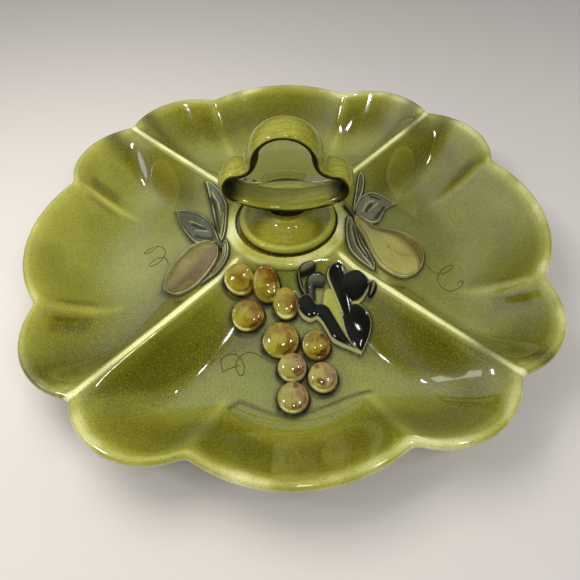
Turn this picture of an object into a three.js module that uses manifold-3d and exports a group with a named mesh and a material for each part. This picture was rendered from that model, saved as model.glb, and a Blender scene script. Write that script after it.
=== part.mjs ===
// Divided serving dish in glazed earthenware: a scalloped body with four compartments,
// a carrying handle luted into a seat at the centre, and fruit and leaf sprigs laid on the floors.
// Millimetres, +Z up. The origin is on the table under the handle and the grapes face -Y.

import * as THREE from "three";
import { mergeVertices } from "three/addons/utils/BufferGeometryUtils.js";
import Module from "manifold-3d";

const DEGREE = Math.PI / 180;
const QUARTER = Math.PI / 2;

// Rim outline: each compartment ends in one wide lobe between two small ones
const CENTRE_LOBE_RADIUS = 87;
const CENTRE_LOBE_OFFSET = 79;
const SIDE_LOBE_RADIUS = 45.3;
const SIDE_LOBE_OFFSET = 127;
const SIDE_LOBE_ANGLE = 33.8 * DEGREE;
const CUSP_BLEND = 3;
const LIP_THICKNESS = 6;

// Bowl: flaring wall, floor that rises to the boss, and the thickness of the ware
const BOWL_DEPTH = 29.5;
const WALL_RUN = 48;
const WALL_THICKNESS = 7.5;
const FLOOR_THICKNESS = 6;
const FLOOR_BLEND = 5;
const FLOOR_FLAT_RADIUS = 110;
const DEPTH_AT_BOSS = 9;

// Dividers between the compartments
const CREST_HALF_WIDTH = 2.5;
const CREST_DROP = 1;
const CREST_THICKNESS = 9;
const DIVIDER_RUN = 27;

// Foot ring, broken where the hollow dividers cross it
const FOOT_HEIGHT = 4.5;
const FOOT_WIDTH = 8;
const FOOT_DRAFT = 2;
const FOOT_OVERHANG = 6;
const FOOT_FADE = 0.4;

// Boss at the centre, with the seat that the handle is luted into
const BOSS_WALL_RUN = 13;
const COLLAR_RISE = 4;
const COLLAR_WIDTH = 4.5;
const CREST_SHOULDER = 21;
const SEAT_DEPTH = 2.5;
const SEAT_CLEARANCE = 0.9;
const LUTE_GAP = 0.3;

// Handle: a flat strap bent into a bell-shaped loop on a neck and a round foot
const STRAP_WIDTH = 16;
const STRAP_THICKNESS = 5;
const STRAP_ROUND = 1.8;
const ARCH_RADIUS = 17.5;
const ARCH_RISE = 32.3;
const SHOULDER_RADIUS = 8.5;
const SHOULDER_SPREAD = 27.2;
const WAIST_RADIUS = 6.5;
const CRADLE_RADIUS = 67.5;
const NECK_WIDTH = 21;
const NECK_DEPTH = 13;
const NECK_FLARE = 4;
const NECK_LENGTH = 8.6;
const HANDLE_FOOT_RADIUS = 31.3;
const HANDLE_FOOT_EDGE = 4.3;
const HANDLE_FOOT_DOME = 3;
const HANDLE_FOOT_ROLL = 1.6;
const HANDLE_TURN = -5 * DEGREE;

// Sprigs: edge and sink of the relief, and the gap that each keeps to what it touches
const SPRIG_GAP = 0.3;
const SPRIG_EDGE = 1;
const SPRIG_SINK = 2;
const GRAPE_RISE = 7;
const FRUIT_RISE = 4.5;
const LEAF_RISE = 2.8;
const VINE_RISE = 5;
const STEM_RISE = 3.2;

// Bearings of the compartments' middles
const FRONT = -QUARTER;
const RIGHT = 0;
const BACK = QUARTER;
const LEFT = 2 * QUARTER;

// Heights and radii that follow from the sizes above
const RIM_HEIGHT = FOOT_HEIGHT + FLOOR_THICKNESS + BOWL_DEPTH;
const COLLAR_TOP = RIM_HEIGHT + COLLAR_RISE;
const SEAT_RADIUS = HANDLE_FOOT_RADIUS + SEAT_CLEARANCE;
const SEAT_FLOOR = COLLAR_TOP - SEAT_DEPTH;
const BOSS_RADIUS = SEAT_RADIUS + COLLAR_WIDTH;
const BOSS_FOOT = BOSS_RADIUS + BOSS_WALL_RUN;
const BOSS_THICKNESS = SEAT_DEPTH + FLOOR_THICKNESS;
const LIP_ROUND = LIP_THICKNESS / 2;
const RELIEF_REACH = CENTRE_LOBE_OFFSET + CENTRE_LOBE_RADIUS - BOSS_RADIUS;
const LIP_START = 150 * DEGREE;
const EDGE_DROP = LIP_ROUND * (1 - Math.sin(LIP_START));

// Facets: stations along a sprig, points across it, and round counts
const SPRIG_STATIONS = 8;
const SPRIG_ACROSS = 6;
const ROUND_SEGMENTS = 36;
const ARC_STEPS = 6;
const LATHE_STEPS = 5;
const CUSP_HALVINGS = 40;

const clamp01 = (t) => Math.min(1, Math.max(0, t));
const mix = (a, b, t) => a + (b - a) * t;
const ease = (t) => clamp01(t) ** 2 * (3 - 2 * clamp01(t));
const swell = (t) => Math.sin(QUARTER * clamp01(t));

function smoothMax(a, b, blend) {
  const share = clamp01(0.5 + (0.5 * (a - b)) / blend);
  return mix(b, a, share) + blend * share * (1 - share);
}

const smoothMin = (a, b, blend) => -smoothMax(-a, -b, blend);

// Angle from the middle of the nearest compartment
const fromMiddle = (bearing) => Math.abs(bearing - Math.round(bearing / QUARTER) * QUARTER);

// Reach of a lobe's circle along a bearing
function lobeReach(angle, offset, radius) {
  const aside = offset * Math.sin(angle);
  return offset * Math.cos(angle) + Math.sqrt(Math.max(0, radius ** 2 - aside ** 2));
}

function lobesAt(angle) {
  const centre = lobeReach(angle, CENTRE_LOBE_OFFSET, CENTRE_LOBE_RADIUS);
  const side = lobeReach(angle - SIDE_LOBE_ANGLE, SIDE_LOBE_OFFSET, SIDE_LOBE_RADIUS);
  return { centre, side };
}

function rimRadius(bearing) {
  const { centre, side } = lobesAt(fromMiddle(bearing));
  return smoothMax(centre, side, CUSP_BLEND);
}

// Inner edge of the lip, where the wall starts
const edgeRadius = (bearing) => rimRadius(bearing) - LIP_ROUND + LIP_ROUND * Math.cos(LIP_START);

// Angle from a compartment's middle to the cusp between its lobes
function cuspAngle() {
  let inside = 0;
  let outside = SIDE_LOBE_ANGLE;
  for (let halving = 0; halving < CUSP_HALVINGS; halving += 1) {
    const angle = (inside + outside) / 2;
    const { centre, side } = lobesAt(angle);
    if (centre > side) inside = angle;
    else outside = angle;
  }
  return inside;
}

const CUSP_ANGLE = cuspAngle();
const WALL_FOOT = edgeRadius(CUSP_ANGLE) - WALL_RUN;
const FOOT_OUTER = WALL_FOOT + FOOT_OVERHANG;
const FOOT_INNER = FOOT_OUTER - FOOT_WIDTH;
const FOOT_END_ANGLE = Math.asin((CREST_HALF_WIDTH + DIVIDER_RUN) / FOOT_OUTER);

// Share of the way down a divider's flank, 0 on the crest and 1 on the floor
function flankShare(radius, bearing) {
  const aside = radius * Math.sin(QUARTER / 2 - fromMiddle(bearing));
  return swell((aside - CREST_HALF_WIDTH) / DIVIDER_RUN);
}

// Upper surface of the ware, without the seat
function crownHeight(radius, bearing) {
  if (radius <= BOSS_RADIUS) return COLLAR_TOP;
  const wallShare = (edgeRadius(bearing) - radius) / WALL_RUN;
  const wall = mix(EDGE_DROP, BOWL_DEPTH, swell(wallShare));
  const slope = (BOWL_DEPTH - DEPTH_AT_BOSS) / (FLOOR_FLAT_RADIUS - BOSS_FOOT);
  const rise = DEPTH_AT_BOSS + slope * (radius - BOSS_FOOT);
  const bossShare = ease((radius - BOSS_RADIUS) / BOSS_WALL_RUN);
  const floor = mix(-COLLAR_RISE, smoothMin(wall, rise, FLOOR_BLEND), bossShare);
  const crestShare = ease((radius - BOSS_RADIUS) / CREST_SHOULDER);
  const crest = mix(-COLLAR_RISE, CREST_DROP, crestShare);
  return RIM_HEIGHT - mix(crest, floor, flankShare(radius, bearing));
}

// Under surface: the ware is thicker below the lip, the crests and the boss
function underHeight(radius, bearing) {
  const wallShare = clamp01((edgeRadius(bearing) - radius) / WALL_RUN);
  const floor = mix(WALL_THICKNESS, FLOOR_THICKNESS, wallShare);
  const ware = mix(CREST_THICKNESS, floor, flankShare(radius, bearing));
  const bossShare = ease((radius - BOSS_RADIUS) / BOSS_WALL_RUN);
  return crownHeight(radius, bearing) - mix(BOSS_THICKNESS, ware, bossShare);
}

// Foot ring: flat on the table between the dividers, fading into the hollow below each
function footHeight(radius, bearing) {
  const angle = QUARTER / 2 - fromMiddle(bearing);
  const share = ease((angle / FOOT_END_ANGLE - 1) / FOOT_FADE + 1);
  return mix(underHeight(radius, bearing), 0, share);
}

// Bearings of the body's facets, closer together at the dividers
function bodyBearings() {
  const dividerShares = [0, 0.05, 0.12, 0.22, 0.34, 0.48, 0.65, 0.82];
  const middleShares = [0, 0.2, 0.45, 0.72, 1];
  const flank = QUARTER / 2 - CUSP_ANGLE;
  const half = dividerShares.map((share) => share * flank);
  half.push(...middleShares.map((share) => flank + share * CUSP_ANGLE));
  const mirrored = half.slice(1, -1).map((angle) => QUARTER - angle);
  const quarter = [...half, ...mirrored.reverse()];
  const turns = [0, 1, 2, 3].map((turn) => turn * QUARTER + QUARTER / 2);
  return turns.flatMap((start) => quarter.map((angle) => start + angle));
}

// Closed skin through rings of points, from one pole to the other
// The facets of each quarter split towards its dividers, so that their flanks stay even
function loftGeometry(first, rings, last) {
  const count = rings[0].length;
  const points = [first, ...rings.flat(), last];
  const at = (ring, step) => 1 + ring * count + (step % count);
  const end = points.length - 1;
  const index = [];
  for (let step = 0; step < count; step += 1) {
    const leaving = (step * 4) % count < count / 2;
    index.push(0, at(0, step), at(0, step + 1));
    for (let ring = 0; ring + 1 < rings.length; ring += 1) {
      const [a, b] = [at(ring, step), at(ring + 1, step)];
      const [c, d] = [at(ring + 1, step + 1), at(ring, step + 1)];
      index.push(...(leaving ? [a, b, d, b, c, d] : [a, b, c, a, c, d]));
    }
    index.push(at(rings.length - 1, step), end, at(rings.length - 1, step + 1));
  }
  const geometry = new THREE.BufferGeometry().setFromPoints(points);
  geometry.setIndex(index);
  return geometry;
}

// Body: seat, collar, boss, floors, walls and lip, then the underside back to the middle
function bodyGeometry() {
  const bearings = bodyBearings();
  const rings = [];
  const addRing = (reach, height) => {
    rings.push(bearings.map((bearing) => {
      const radius = reach(bearing);
      const x = radius * Math.cos(bearing);
      return new THREE.Vector3(x, radius * Math.sin(bearing), height(radius, bearing));
    }));
  };
  const addCircle = (radius, height) => addRing(() => radius, height);
  const addWall = (share, height) => addRing((bearing) => edgeRadius(bearing) - share * WALL_RUN, height);
  const addLip = (angle) => {
    const reach = (bearing) => rimRadius(bearing) - LIP_ROUND + LIP_ROUND * Math.cos(angle);
    addRing(reach, () => RIM_HEIGHT - LIP_ROUND + LIP_ROUND * Math.sin(angle));
  };

  addCircle(SEAT_RADIUS, () => SEAT_FLOOR);
  addCircle(SEAT_RADIUS, () => COLLAR_TOP);
  addCircle(BOSS_RADIUS, () => COLLAR_TOP);
  const bossShares = [0.25, 0.5, 0.75, 1];
  bossShares.forEach((share) => addCircle(BOSS_RADIUS + share * BOSS_WALL_RUN, crownHeight));
  const floorShares = [0.16, 0.36, 0.58, 0.8];
  floorShares.forEach((share) => addCircle(mix(BOSS_FOOT, WALL_FOOT, share), crownHeight));
  const wallShares = [0.98, 0.8, 0.64, 0.48, 0.34, 0.21, 0.1, 0];
  wallShares.forEach((share) => addWall(share, crownHeight));
  const lipAngles = [95, 45, 0, -45];
  lipAngles.forEach((angle) => addLip(angle * DEGREE));

  const outerShares = [0.06, 0.24, 0.45, 0.66];
  outerShares.forEach((share) => addWall(share, underHeight));
  addCircle(FOOT_OUTER + FOOT_DRAFT, underHeight);
  addCircle(FOOT_OUTER, footHeight);
  addCircle(FOOT_INNER, footHeight);
  addCircle(FOOT_INNER - FOOT_DRAFT, underHeight);
  floorShares.slice(0, -1).reverse().forEach((share) => {
    addCircle(mix(BOSS_FOOT, FOOT_INNER - FOOT_DRAFT, share), underHeight);
  });
  [1, 0.5, 0].forEach((share) => addCircle(BOSS_RADIUS + share * BOSS_WALL_RUN, underHeight));

  const seatMiddle = new THREE.Vector3(0, 0, SEAT_FLOOR);
  const underMiddle = new THREE.Vector3(0, 0, underHeight(0, 0));
  return loftGeometry(seatMiddle, rings, underMiddle);
}

const wasm = await Module();
wasm.setup();

// Closed solid of a geometry, with shared corners welded and collapsed facets left out
function solidOf(geometry) {
  const bare = geometry.clone();
  bare.deleteAttribute("normal");
  bare.deleteAttribute("uv");
  const welded = mergeVertices(bare);
  const corners = welded.index.array;
  const triVerts = [];
  for (let at = 0; at < corners.length; at += 3) {
    const [a, b, c] = corners.slice(at, at + 3);
    if (a !== b && b !== c && c !== a) triVerts.push(a, b, c);
  }
  const mesh = new wasm.Mesh({
    numProp: 3,
    vertProperties: new Float32Array(welded.attributes.position.array),
    triVerts: new Uint32Array(triVerts),
  });
  return new wasm.Manifold(mesh);
}

function geometryOf(solid) {
  const mesh = solid.getMesh();
  const geometry = new THREE.BufferGeometry();
  geometry.setAttribute("position", new THREE.BufferAttribute(mesh.vertProperties, 3));
  geometry.setIndex(new THREE.BufferAttribute(mesh.triVerts, 1));
  geometry.computeVertexNormals();
  return geometry;
}

// Point where two circles meet, to the right of the line from a to b
function circlesMeet(a, radiusA, b, radiusB) {
  const across = new THREE.Vector2().subVectors(b, a);
  const distance = across.length();
  const along = (radiusA ** 2 - radiusB ** 2 + distance ** 2) / (2 * distance);
  const aside = Math.sqrt(radiusA ** 2 - along ** 2);
  const normal = new THREE.Vector2(across.y, -across.x).divideScalar(distance);
  return a.clone().addScaledVector(across, along / distance).addScaledVector(normal, aside);
}

const angleTo = (from, to) => Math.atan2(to.y - from.y, to.x - from.x);

function arcPoints(centre, radius, start, end) {
  const points = [];
  for (let step = 0; step < ARC_STEPS; step += 1) {
    const angle = mix(start, end, step / ARC_STEPS);
    points.push(new THREE.Vector2(radius, 0).rotateAround(new THREE.Vector2(), angle).add(centre));
  }
  return points;
}

// Loop outline, offset from the strap's middle line: cradle, shoulders, waists and arch
function loopOutline(offset) {
  const cradle = new THREE.Vector2(0, CRADLE_RADIUS);
  const drop = Math.sqrt((CRADLE_RADIUS - SHOULDER_RADIUS) ** 2 - SHOULDER_SPREAD ** 2);
  const shoulder = new THREE.Vector2(SHOULDER_SPREAD, CRADLE_RADIUS - drop);
  const arch = new THREE.Vector2(0, ARCH_RISE);
  const waist = circlesMeet(shoulder, SHOULDER_RADIUS + WAIST_RADIUS, arch, ARCH_RADIUS + WAIST_RADIUS);
  const cradleEnd = angleTo(cradle, shoulder);
  const shoulderEnd = angleTo(shoulder, waist);
  const waistEnd = angleTo(waist, arch);
  const archStart = angleTo(arch, waist);
  const right = [
    ...arcPoints(cradle, CRADLE_RADIUS + offset, -QUARTER, cradleEnd),
    ...arcPoints(shoulder, SHOULDER_RADIUS + offset, cradleEnd, shoulderEnd),
    ...arcPoints(waist, WAIST_RADIUS - offset, shoulderEnd - 2 * QUARTER, waistEnd - 4 * QUARTER),
    ...arcPoints(arch, ARCH_RADIUS + offset, archStart, QUARTER),
  ];
  const top = new THREE.Vector2(0, ARCH_RISE + ARCH_RADIUS + offset);
  const left = right.slice(1).reverse().map((point) => new THREE.Vector2(-point.x, point.y));
  return [...right, top, ...left];
}

// Strap loop: the outline and its hole drawn out to the strap's width, with rounded edges
function loopGeometry(base) {
  const outline = new THREE.Shape(loopOutline(STRAP_THICKNESS / 2));
  outline.holes.push(new THREE.Path(loopOutline(-STRAP_THICKNESS / 2)));
  const geometry = new THREE.ExtrudeGeometry(outline, {
    depth: STRAP_WIDTH - 2 * STRAP_ROUND,
    bevelThickness: STRAP_ROUND,
    bevelSize: STRAP_ROUND,
    bevelOffset: -STRAP_ROUND,
    bevelSegments: 2,
  });
  geometry.translate(0, 0, STRAP_ROUND - STRAP_WIDTH / 2);
  geometry.rotateX(QUARTER);
  return geometry.translate(0, 0, base + STRAP_THICKNESS / 2);
}

// Oval neck that flares onto the foot
function neckGeometry(low, high) {
  const profile = [new THREE.Vector2(0, low)];
  for (let step = 0; step <= LATHE_STEPS; step += 1) {
    const share = step / LATHE_STEPS;
    const radius = NECK_WIDTH / 2 + NECK_FLARE * (1 - share) ** 2;
    profile.push(new THREE.Vector2(radius, mix(low, high, share)));
  }
  profile.push(new THREE.Vector2(0, high));
  const geometry = new THREE.LatheGeometry(profile, ROUND_SEGMENTS);
  geometry.rotateX(QUARTER);
  return geometry.scale(1, NECK_DEPTH / NECK_WIDTH, 1);
}

// Round foot with a rolled edge and a low dome
function handleFootGeometry() {
  const profile = [
    new THREE.Vector2(0, 0),
    new THREE.Vector2(HANDLE_FOOT_RADIUS - HANDLE_FOOT_ROLL, 0),
    new THREE.Vector2(HANDLE_FOOT_RADIUS, HANDLE_FOOT_ROLL),
    new THREE.Vector2(HANDLE_FOOT_RADIUS, HANDLE_FOOT_EDGE - HANDLE_FOOT_ROLL),
  ];
  for (let step = 0; step <= LATHE_STEPS; step += 1) {
    const share = step / LATHE_STEPS;
    const radius = mix(HANDLE_FOOT_RADIUS - HANDLE_FOOT_ROLL / 2, NECK_WIDTH / 2, share);
    profile.push(new THREE.Vector2(radius, HANDLE_FOOT_EDGE + HANDLE_FOOT_DOME * swell(share)));
  }
  profile.push(new THREE.Vector2(0, HANDLE_FOOT_EDGE + HANDLE_FOOT_DOME));
  return new THREE.LatheGeometry(profile, ROUND_SEGMENTS).rotateX(QUARTER);
}

function handleGeometry() {
  const footTop = HANDLE_FOOT_EDGE + HANDLE_FOOT_DOME;
  const loopBase = footTop + NECK_LENGTH;
  const neck = neckGeometry(HANDLE_FOOT_EDGE, loopBase + STRAP_THICKNESS / 2);
  const solid = solidOf(handleFootGeometry()).add(solidOf(neck)).add(solidOf(loopGeometry(loopBase)));
  return geometryOf(solid);
}

// The relief is drawn in hundredths of the way from the boss to the rim
const reliefLength = (units) => (units * RELIEF_REACH) / 100;

// Place in the plan: out from the boss along a compartment's middle, and aside from it
function planPoint(bearing, [out, aside]) {
  const place = new THREE.Vector2(BOSS_RADIUS + reliefLength(out), reliefLength(aside));
  return place.rotateAround(new THREE.Vector2(), bearing);
}

const crownAt = (point) => crownHeight(point.length(), Math.atan2(point.y, point.x));

// Widths and places along a blade's spine, with its ends rounded over a share of the length
function bladeSections({ bearing, spine, widths, round = 0, taper = 0.5 }) {
  const line = new THREE.SplineCurve(spine.map((point) => planPoint(bearing, point)));
  const halfWidths = widths.map(reliefLength);
  const girth = new THREE.SplineCurve(halfWidths.map((width, at) => new THREE.Vector2(at, width)));
  const most = Math.max(...halfWidths);
  const sections = [];
  for (let station = 0; station <= SPRIG_STATIONS; station += 1) {
    const t = (1 - Math.cos((Math.PI * station) / SPRIG_STATIONS)) / 2;
    const inside = round > 0 ? clamp01(Math.min(t, 1 - t) / round) : 1;
    const halfWidth = Math.max(0, girth.getPoint(t).y) * Math.sqrt(1 - (1 - inside) ** 2);
    const tangent = line.getTangent(t);
    const across = new THREE.Vector2(-tangent.y, tangent.x);
    const fullness = (halfWidth / most) ** taper;
    sections.push({ middle: line.getPoint(t), across, halfWidth, fullness });
  }
  return sections;
}

// Closed ribbon along a blade's spine between a lower and an upper surface
function ribbonGeometry(blade, grow, lower, upper) {
  const points = [];
  for (const { middle, across, halfWidth, fullness } of bladeSections(blade)) {
    const row = { upper: [], lower: [] };
    for (let step = 0; step <= SPRIG_ACROSS; step += 1) {
      const side = Math.sin(QUARTER * ((2 * step) / SPRIG_ACROSS - 1));
      const place = middle.clone().addScaledVector(across, side * (halfWidth + grow));
      const dome = fullness * Math.sqrt(1 - side ** 2);
      row.upper.push(new THREE.Vector3(place.x, place.y, upper(place, dome)));
      row.lower.push(new THREE.Vector3(place.x, place.y, lower(place)));
    }
    points.push(...row.upper, ...row.lower.reverse());
  }
  const loop = 2 * (SPRIG_ACROSS + 1);
  const index = [];
  const addQuad = (a, b, c, d) => index.push(a, b, c, a, c, d);
  for (let station = 0; station < SPRIG_STATIONS; station += 1) {
    for (let step = 0; step < loop; step += 1) {
      const next = (step + 1) % loop;
      const here = station * loop;
      addQuad(here + next, here + step, here + loop + step, here + loop + next);
    }
  }
  const last = SPRIG_STATIONS * loop;
  for (let step = 0; step < SPRIG_ACROSS; step += 1) {
    const below = loop - 1 - step;
    addQuad(step, step + 1, below - 1, below);
    addQuad(last + below, last + below - 1, last + step + 1, last + step);
  }
  const geometry = new THREE.BufferGeometry().setFromPoints(points);
  geometry.setIndex(index);
  return geometry;
}

// Relief of a blade: a low dome that follows the ware
function reliefSolid(blade) {
  const lower = (place) => crownAt(place) - SPRIG_SINK;
  const upper = (place, dome) => crownAt(place) + SPRIG_EDGE + (blade.rise - SPRIG_EDGE) * dome;
  return solidOf(ribbonGeometry(blade, 0, lower, upper));
}

// Upright column round a blade, which keeps its neighbours clear of it
function reliefColumn(blade) {
  return solidOf(ribbonGeometry(blade, SPRIG_GAP, () => 0, () => 2 * RIM_HEIGHT));
}

// Grapes, as place, half width across and half length along the compartment, in relief units
const GRAPES = [
  [[5.4, -22.1], 6.3, 6.2],
  [[8.1, -10.3], 5.7, 7.1],
  [[20.5, -19.2], 6.8, 6.5],
  [[17, -1.9], 4.8, 7.3],
  [[32.5, -4.4], 7.2, 6.9],
  [[35.2, 10.8], 6, 6.7],
  [[44.5, -0.4], 6.4, 6],
  [[48.7, 12.2], 6.2, 6.4],
  [[56.6, -0.4], 6.7, 6.4],
];

// Sprigs beside the grapes: the vine leaf in two parts, its stem and a cut twig
const VINE_SPRIGS = [
  {
    name: "vine_leaf_lower",
    blades: [{
      spine: [[14.3, 5.4], [18.6, 9.3], [23.6, 17], [36, 25.5]],
      widths: [3.1, 5.4, 4, 3.4, 0],
      round: 0.12,
    }],
    rise: VINE_RISE,
    finish: "vineLeaf",
  },
  {
    name: "vine_leaf_upper",
    blades: [
      {
        spine: [[3.5, 22], [10.4, 20.5], [21.3, 23.2], [34.4, 29]],
        widths: [2.7, 3.9, 3.6, 2.7, 0],
        round: 0.1,
      },
      { spine: [[7.3, 20.9], [9.3, 27.8], [13.5, 34.4]], widths: [3.9, 5.8, 5.4, 3.1], round: 0.2 },
      {
        spine: [[19.7, 24], [22.8, 30.2], [29, 32.9], [37.5, 30.9]],
        widths: [3.9, 5.4, 4.6, 0],
        round: 0.1,
      },
    ],
    rise: VINE_RISE,
    finish: "vineLeaf",
  },
  {
    name: "grape_stem",
    blades: [{ spine: [[7, 2.7], [5.8, 10.1], [7.3, 15.9]], widths: [1.7, 1.9, 1.7], round: 0.1 }],
    rise: STEM_RISE,
    finish: "stem",
  },
  {
    name: "grape_twig",
    blades: [{ spine: [[4.3, 4.6], [2, 8.9], [0.2, 12.4]], widths: [2, 2.2, 1.4], round: 0.1 }],
    rise: STEM_RISE,
    finish: "stem",
  },
];

// Sprigs of the left compartment: a pointed fruit and three leaves at its stem
const LEFT_SPRIGS = [
  {
    name: "left_fruit",
    blades: [{
      spine: [[7.2, 7], [20.7, 17.8], [30.8, 30.2]],
      widths: [3.5, 8.1, 10.4, 10.1, 6.6, 0],
      round: 0.1,
    }],
    rise: FRUIT_RISE,
    finish: "paleFruit",
  },
  {
    name: "left_leaf_side",
    blades: [{ spine: [[7.7, 2.3], [18.9, -11.2], [32.1, -29.4]], widths: [1.5, 5, 6.2, 5, 0] }],
    rise: LEAF_RISE,
    finish: "leaf",
  },
  {
    name: "left_leaf_upper",
    blades: [{ spine: [[3.9, 3.9], [4.3, -11.6], [13.1, -34]], widths: [1.5, 4.3, 5, 3.5, 0] }],
    rise: LEAF_RISE,
    finish: "leaf",
  },
  {
    name: "left_leaf_lower",
    blades: [{ spine: [[2.6, 10.8], [1.8, 19.3], [7.2, 32.5]], widths: [1.2, 2.7, 2.5, 1.7, 0] }],
    rise: LEAF_RISE,
    finish: "leaf",
  },
];

// Sprigs of the right compartment: a pear and three leaves at its stem
const RIGHT_SPRIGS = [
  {
    name: "pear",
    blades: [{
      spine: [[8.1, 2.3], [36.7, -20.1]],
      widths: [3.1, 4.3, 8.5, 12.8, 13.9, 12, 7.7],
      round: 0.14,
    }],
    rise: FRUIT_RISE,
    finish: "pear",
  },
  {
    name: "right_leaf_side",
    blades: [{
      spine: [[8.9, 7], [16.6, 16.2], [23.6, 22.4], [32.5, 26.3]],
      widths: [2.3, 7.7, 8.5, 6.2, 0],
    }],
    rise: LEAF_RISE,
    finish: "leaf",
  },
  {
    name: "right_leaf_upper",
    blades: [{ spine: [[6.2, 6.2], [9.7, 21.7], [13.5, 35.6]], widths: [0.8, 2, 2.2, 1.7, 0] }],
    rise: LEAF_RISE,
    finish: "leaf",
  },
  {
    name: "right_leaf_lower",
    blades: [{
      spine: [[2.9, -1.5], [2.6, -10.8], [4.9, -21.7], [11.1, -31.7]],
      widths: [1.5, 4.3, 4.6, 3.1, 0],
    }],
    rise: LEAF_RISE,
    finish: "leaf",
  },
];

// Sprigs of the back compartment: a round fruit between two leaves
const BACK_SPRIGS = [
  {
    name: "back_fruit",
    blades: [{ spine: [[5.8, 0], [25.1, 0]], widths: [11.6, 13.9, 14.3, 13.1, 10.8], round: 0.3 }],
    rise: FRUIT_RISE,
    finish: "paleFruit",
  },
  {
    name: "back_leaf_right",
    blades: [{ spine: [[12, -10.8], [17.4, -20.1], [19.7, -30.9]], widths: [2.3, 4.6, 5, 3.9, 0] }],
    rise: LEAF_RISE,
    finish: "leaf",
  },
  {
    name: "back_leaf_left",
    blades: [{ spine: [[12, 10.8], [17.4, 20.1], [19.7, 30.9]], widths: [2.3, 4.6, 5, 3.9, 0] }],
    rise: LEAF_RISE,
    finish: "leaf",
  },
];

// Fired glazes, as colour and roughness
const GLAZES = {
  body: [0x87912b, 0.16],
  grape: [0x86672a, 0.18],
  vineLeaf: [0x17190f, 0.14],
  stem: [0x5d6140, 0.25],
  leaf: [0x363c22, 0.22],
  pear: [0x8f7c3a, 0.2],
  paleFruit: [0x94844f, 0.2],
};

function glazeMaterial(finish) {
  const [color, roughness] = GLAZES[finish];
  return new THREE.MeshStandardMaterial({ color, roughness, metalness: 0 });
}

function glazedMesh(name, geometry, finish) {
  const mesh = new THREE.Mesh(geometry, glazeMaterial(finish));
  mesh.name = name;
  return mesh;
}

// Blades of a sprig, each with the sprig's bearing and rise
const bladesOf = (sprig, bearing) => sprig.blades.map((blade) => ({ ...blade, bearing, rise: sprig.rise }));

const joined = (solids) => solids.reduce((whole, solid) => whole.add(solid));

// Sprigs of one compartment: each is cut clear of the ware and of those laid before it
function addSprigs(group, bearing, sprigs, ware) {
  const columns = [];
  for (const sprig of sprigs) {
    const blades = bladesOf(sprig, bearing);
    const laid = columns.reduce((solid, column) => solid.subtract(column), joined(blades.map(reliefSolid)));
    group.add(glazedMesh(sprig.name, geometryOf(laid.subtract(ware)), sprig.finish));
    columns.push(...blades.map(reliefColumn));
  }
}

// Grapes as sprigs: oval domes, each along the compartment
function grapeSprigs() {
  return GRAPES.map(([[out, aside], across, along], at) => ({
    name: `grape_${at + 1}`,
    blades: [{
      spine: [[out - along, aside], [out + along, aside]],
      widths: [across, across],
      round: 0.5,
      taper: 1,
    }],
    rise: GRAPE_RISE,
    finish: "grape",
  }));
}

function servingDish() {
  const dish = new THREE.Group();
  const body = bodyGeometry();
  body.computeVertexNormals();
  dish.add(glazedMesh("dish_body", body, "body"));

  const handle = glazedMesh("handle", handleGeometry(), "body");
  handle.position.z = SEAT_FLOOR + LUTE_GAP;
  handle.rotation.z = HANDLE_TURN;
  dish.add(handle);

  const ware = solidOf(body.clone().translate(0, 0, SPRIG_GAP));
  addSprigs(dish, FRONT, [...grapeSprigs(), ...VINE_SPRIGS], ware);
  addSprigs(dish, LEFT, LEFT_SPRIGS, ware);
  addSprigs(dish, RIGHT, RIGHT_SPRIGS, ware);
  addSprigs(dish, BACK, BACK_SPRIGS, ware);
  return dish;
}

export default servingDish();
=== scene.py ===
import math

import bmesh
import bpy
from mathutils import Matrix, Vector
from mathutils.kdtree import KDTree


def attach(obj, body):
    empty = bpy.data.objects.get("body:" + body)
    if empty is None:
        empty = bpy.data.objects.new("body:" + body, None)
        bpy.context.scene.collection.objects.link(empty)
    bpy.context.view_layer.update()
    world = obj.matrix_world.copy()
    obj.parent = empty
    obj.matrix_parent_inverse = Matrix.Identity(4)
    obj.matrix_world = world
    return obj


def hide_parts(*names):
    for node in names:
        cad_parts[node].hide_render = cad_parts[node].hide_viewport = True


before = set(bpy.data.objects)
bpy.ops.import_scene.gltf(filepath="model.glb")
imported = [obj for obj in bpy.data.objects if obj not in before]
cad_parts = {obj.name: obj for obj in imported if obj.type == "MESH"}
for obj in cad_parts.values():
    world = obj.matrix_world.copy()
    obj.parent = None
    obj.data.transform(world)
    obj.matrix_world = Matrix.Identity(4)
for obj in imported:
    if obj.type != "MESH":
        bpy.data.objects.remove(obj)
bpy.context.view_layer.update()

MM = 0.001
DEGREE = math.pi / 180
QUARTER = math.pi / 2
TURN = 2 * math.pi
TINY = 1e-6

# Rim, bowl and dividers of the ware, in millimetres
CENTRE_LOBE_RADIUS = 87
CENTRE_LOBE_OFFSET = 79
SIDE_LOBE_RADIUS = 45.3
SIDE_LOBE_OFFSET = 127
SIDE_LOBE_ANGLE = 33.8 * DEGREE
CUSP_BLEND = 3
CUSP_ANGLE = 20.6 * DEGREE
RIDGE_ROUNDING = 0.22
LIP_ROUND = 3
LIP_START = 150 * DEGREE
RIM_HEIGHT = 40
EDGE_DROP = LIP_ROUND * (1 - math.sin(LIP_START))
BOWL_DEPTH = 29.5
WALL_RUN = 48
WALL_THICKNESS = 7.5
FLOOR_THICKNESS = 6
FLOOR_BLEND = 5
FLOOR_FLAT_RADIUS = 110
DEPTH_AT_BOSS = 9
CREST_HALF_WIDTH = 2.5
CREST_SOFT = 1.4
CREST_DROP = 1
CREST_THICKNESS = 9
DIVIDERS = 4
DIVIDER_RUN = 27

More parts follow.
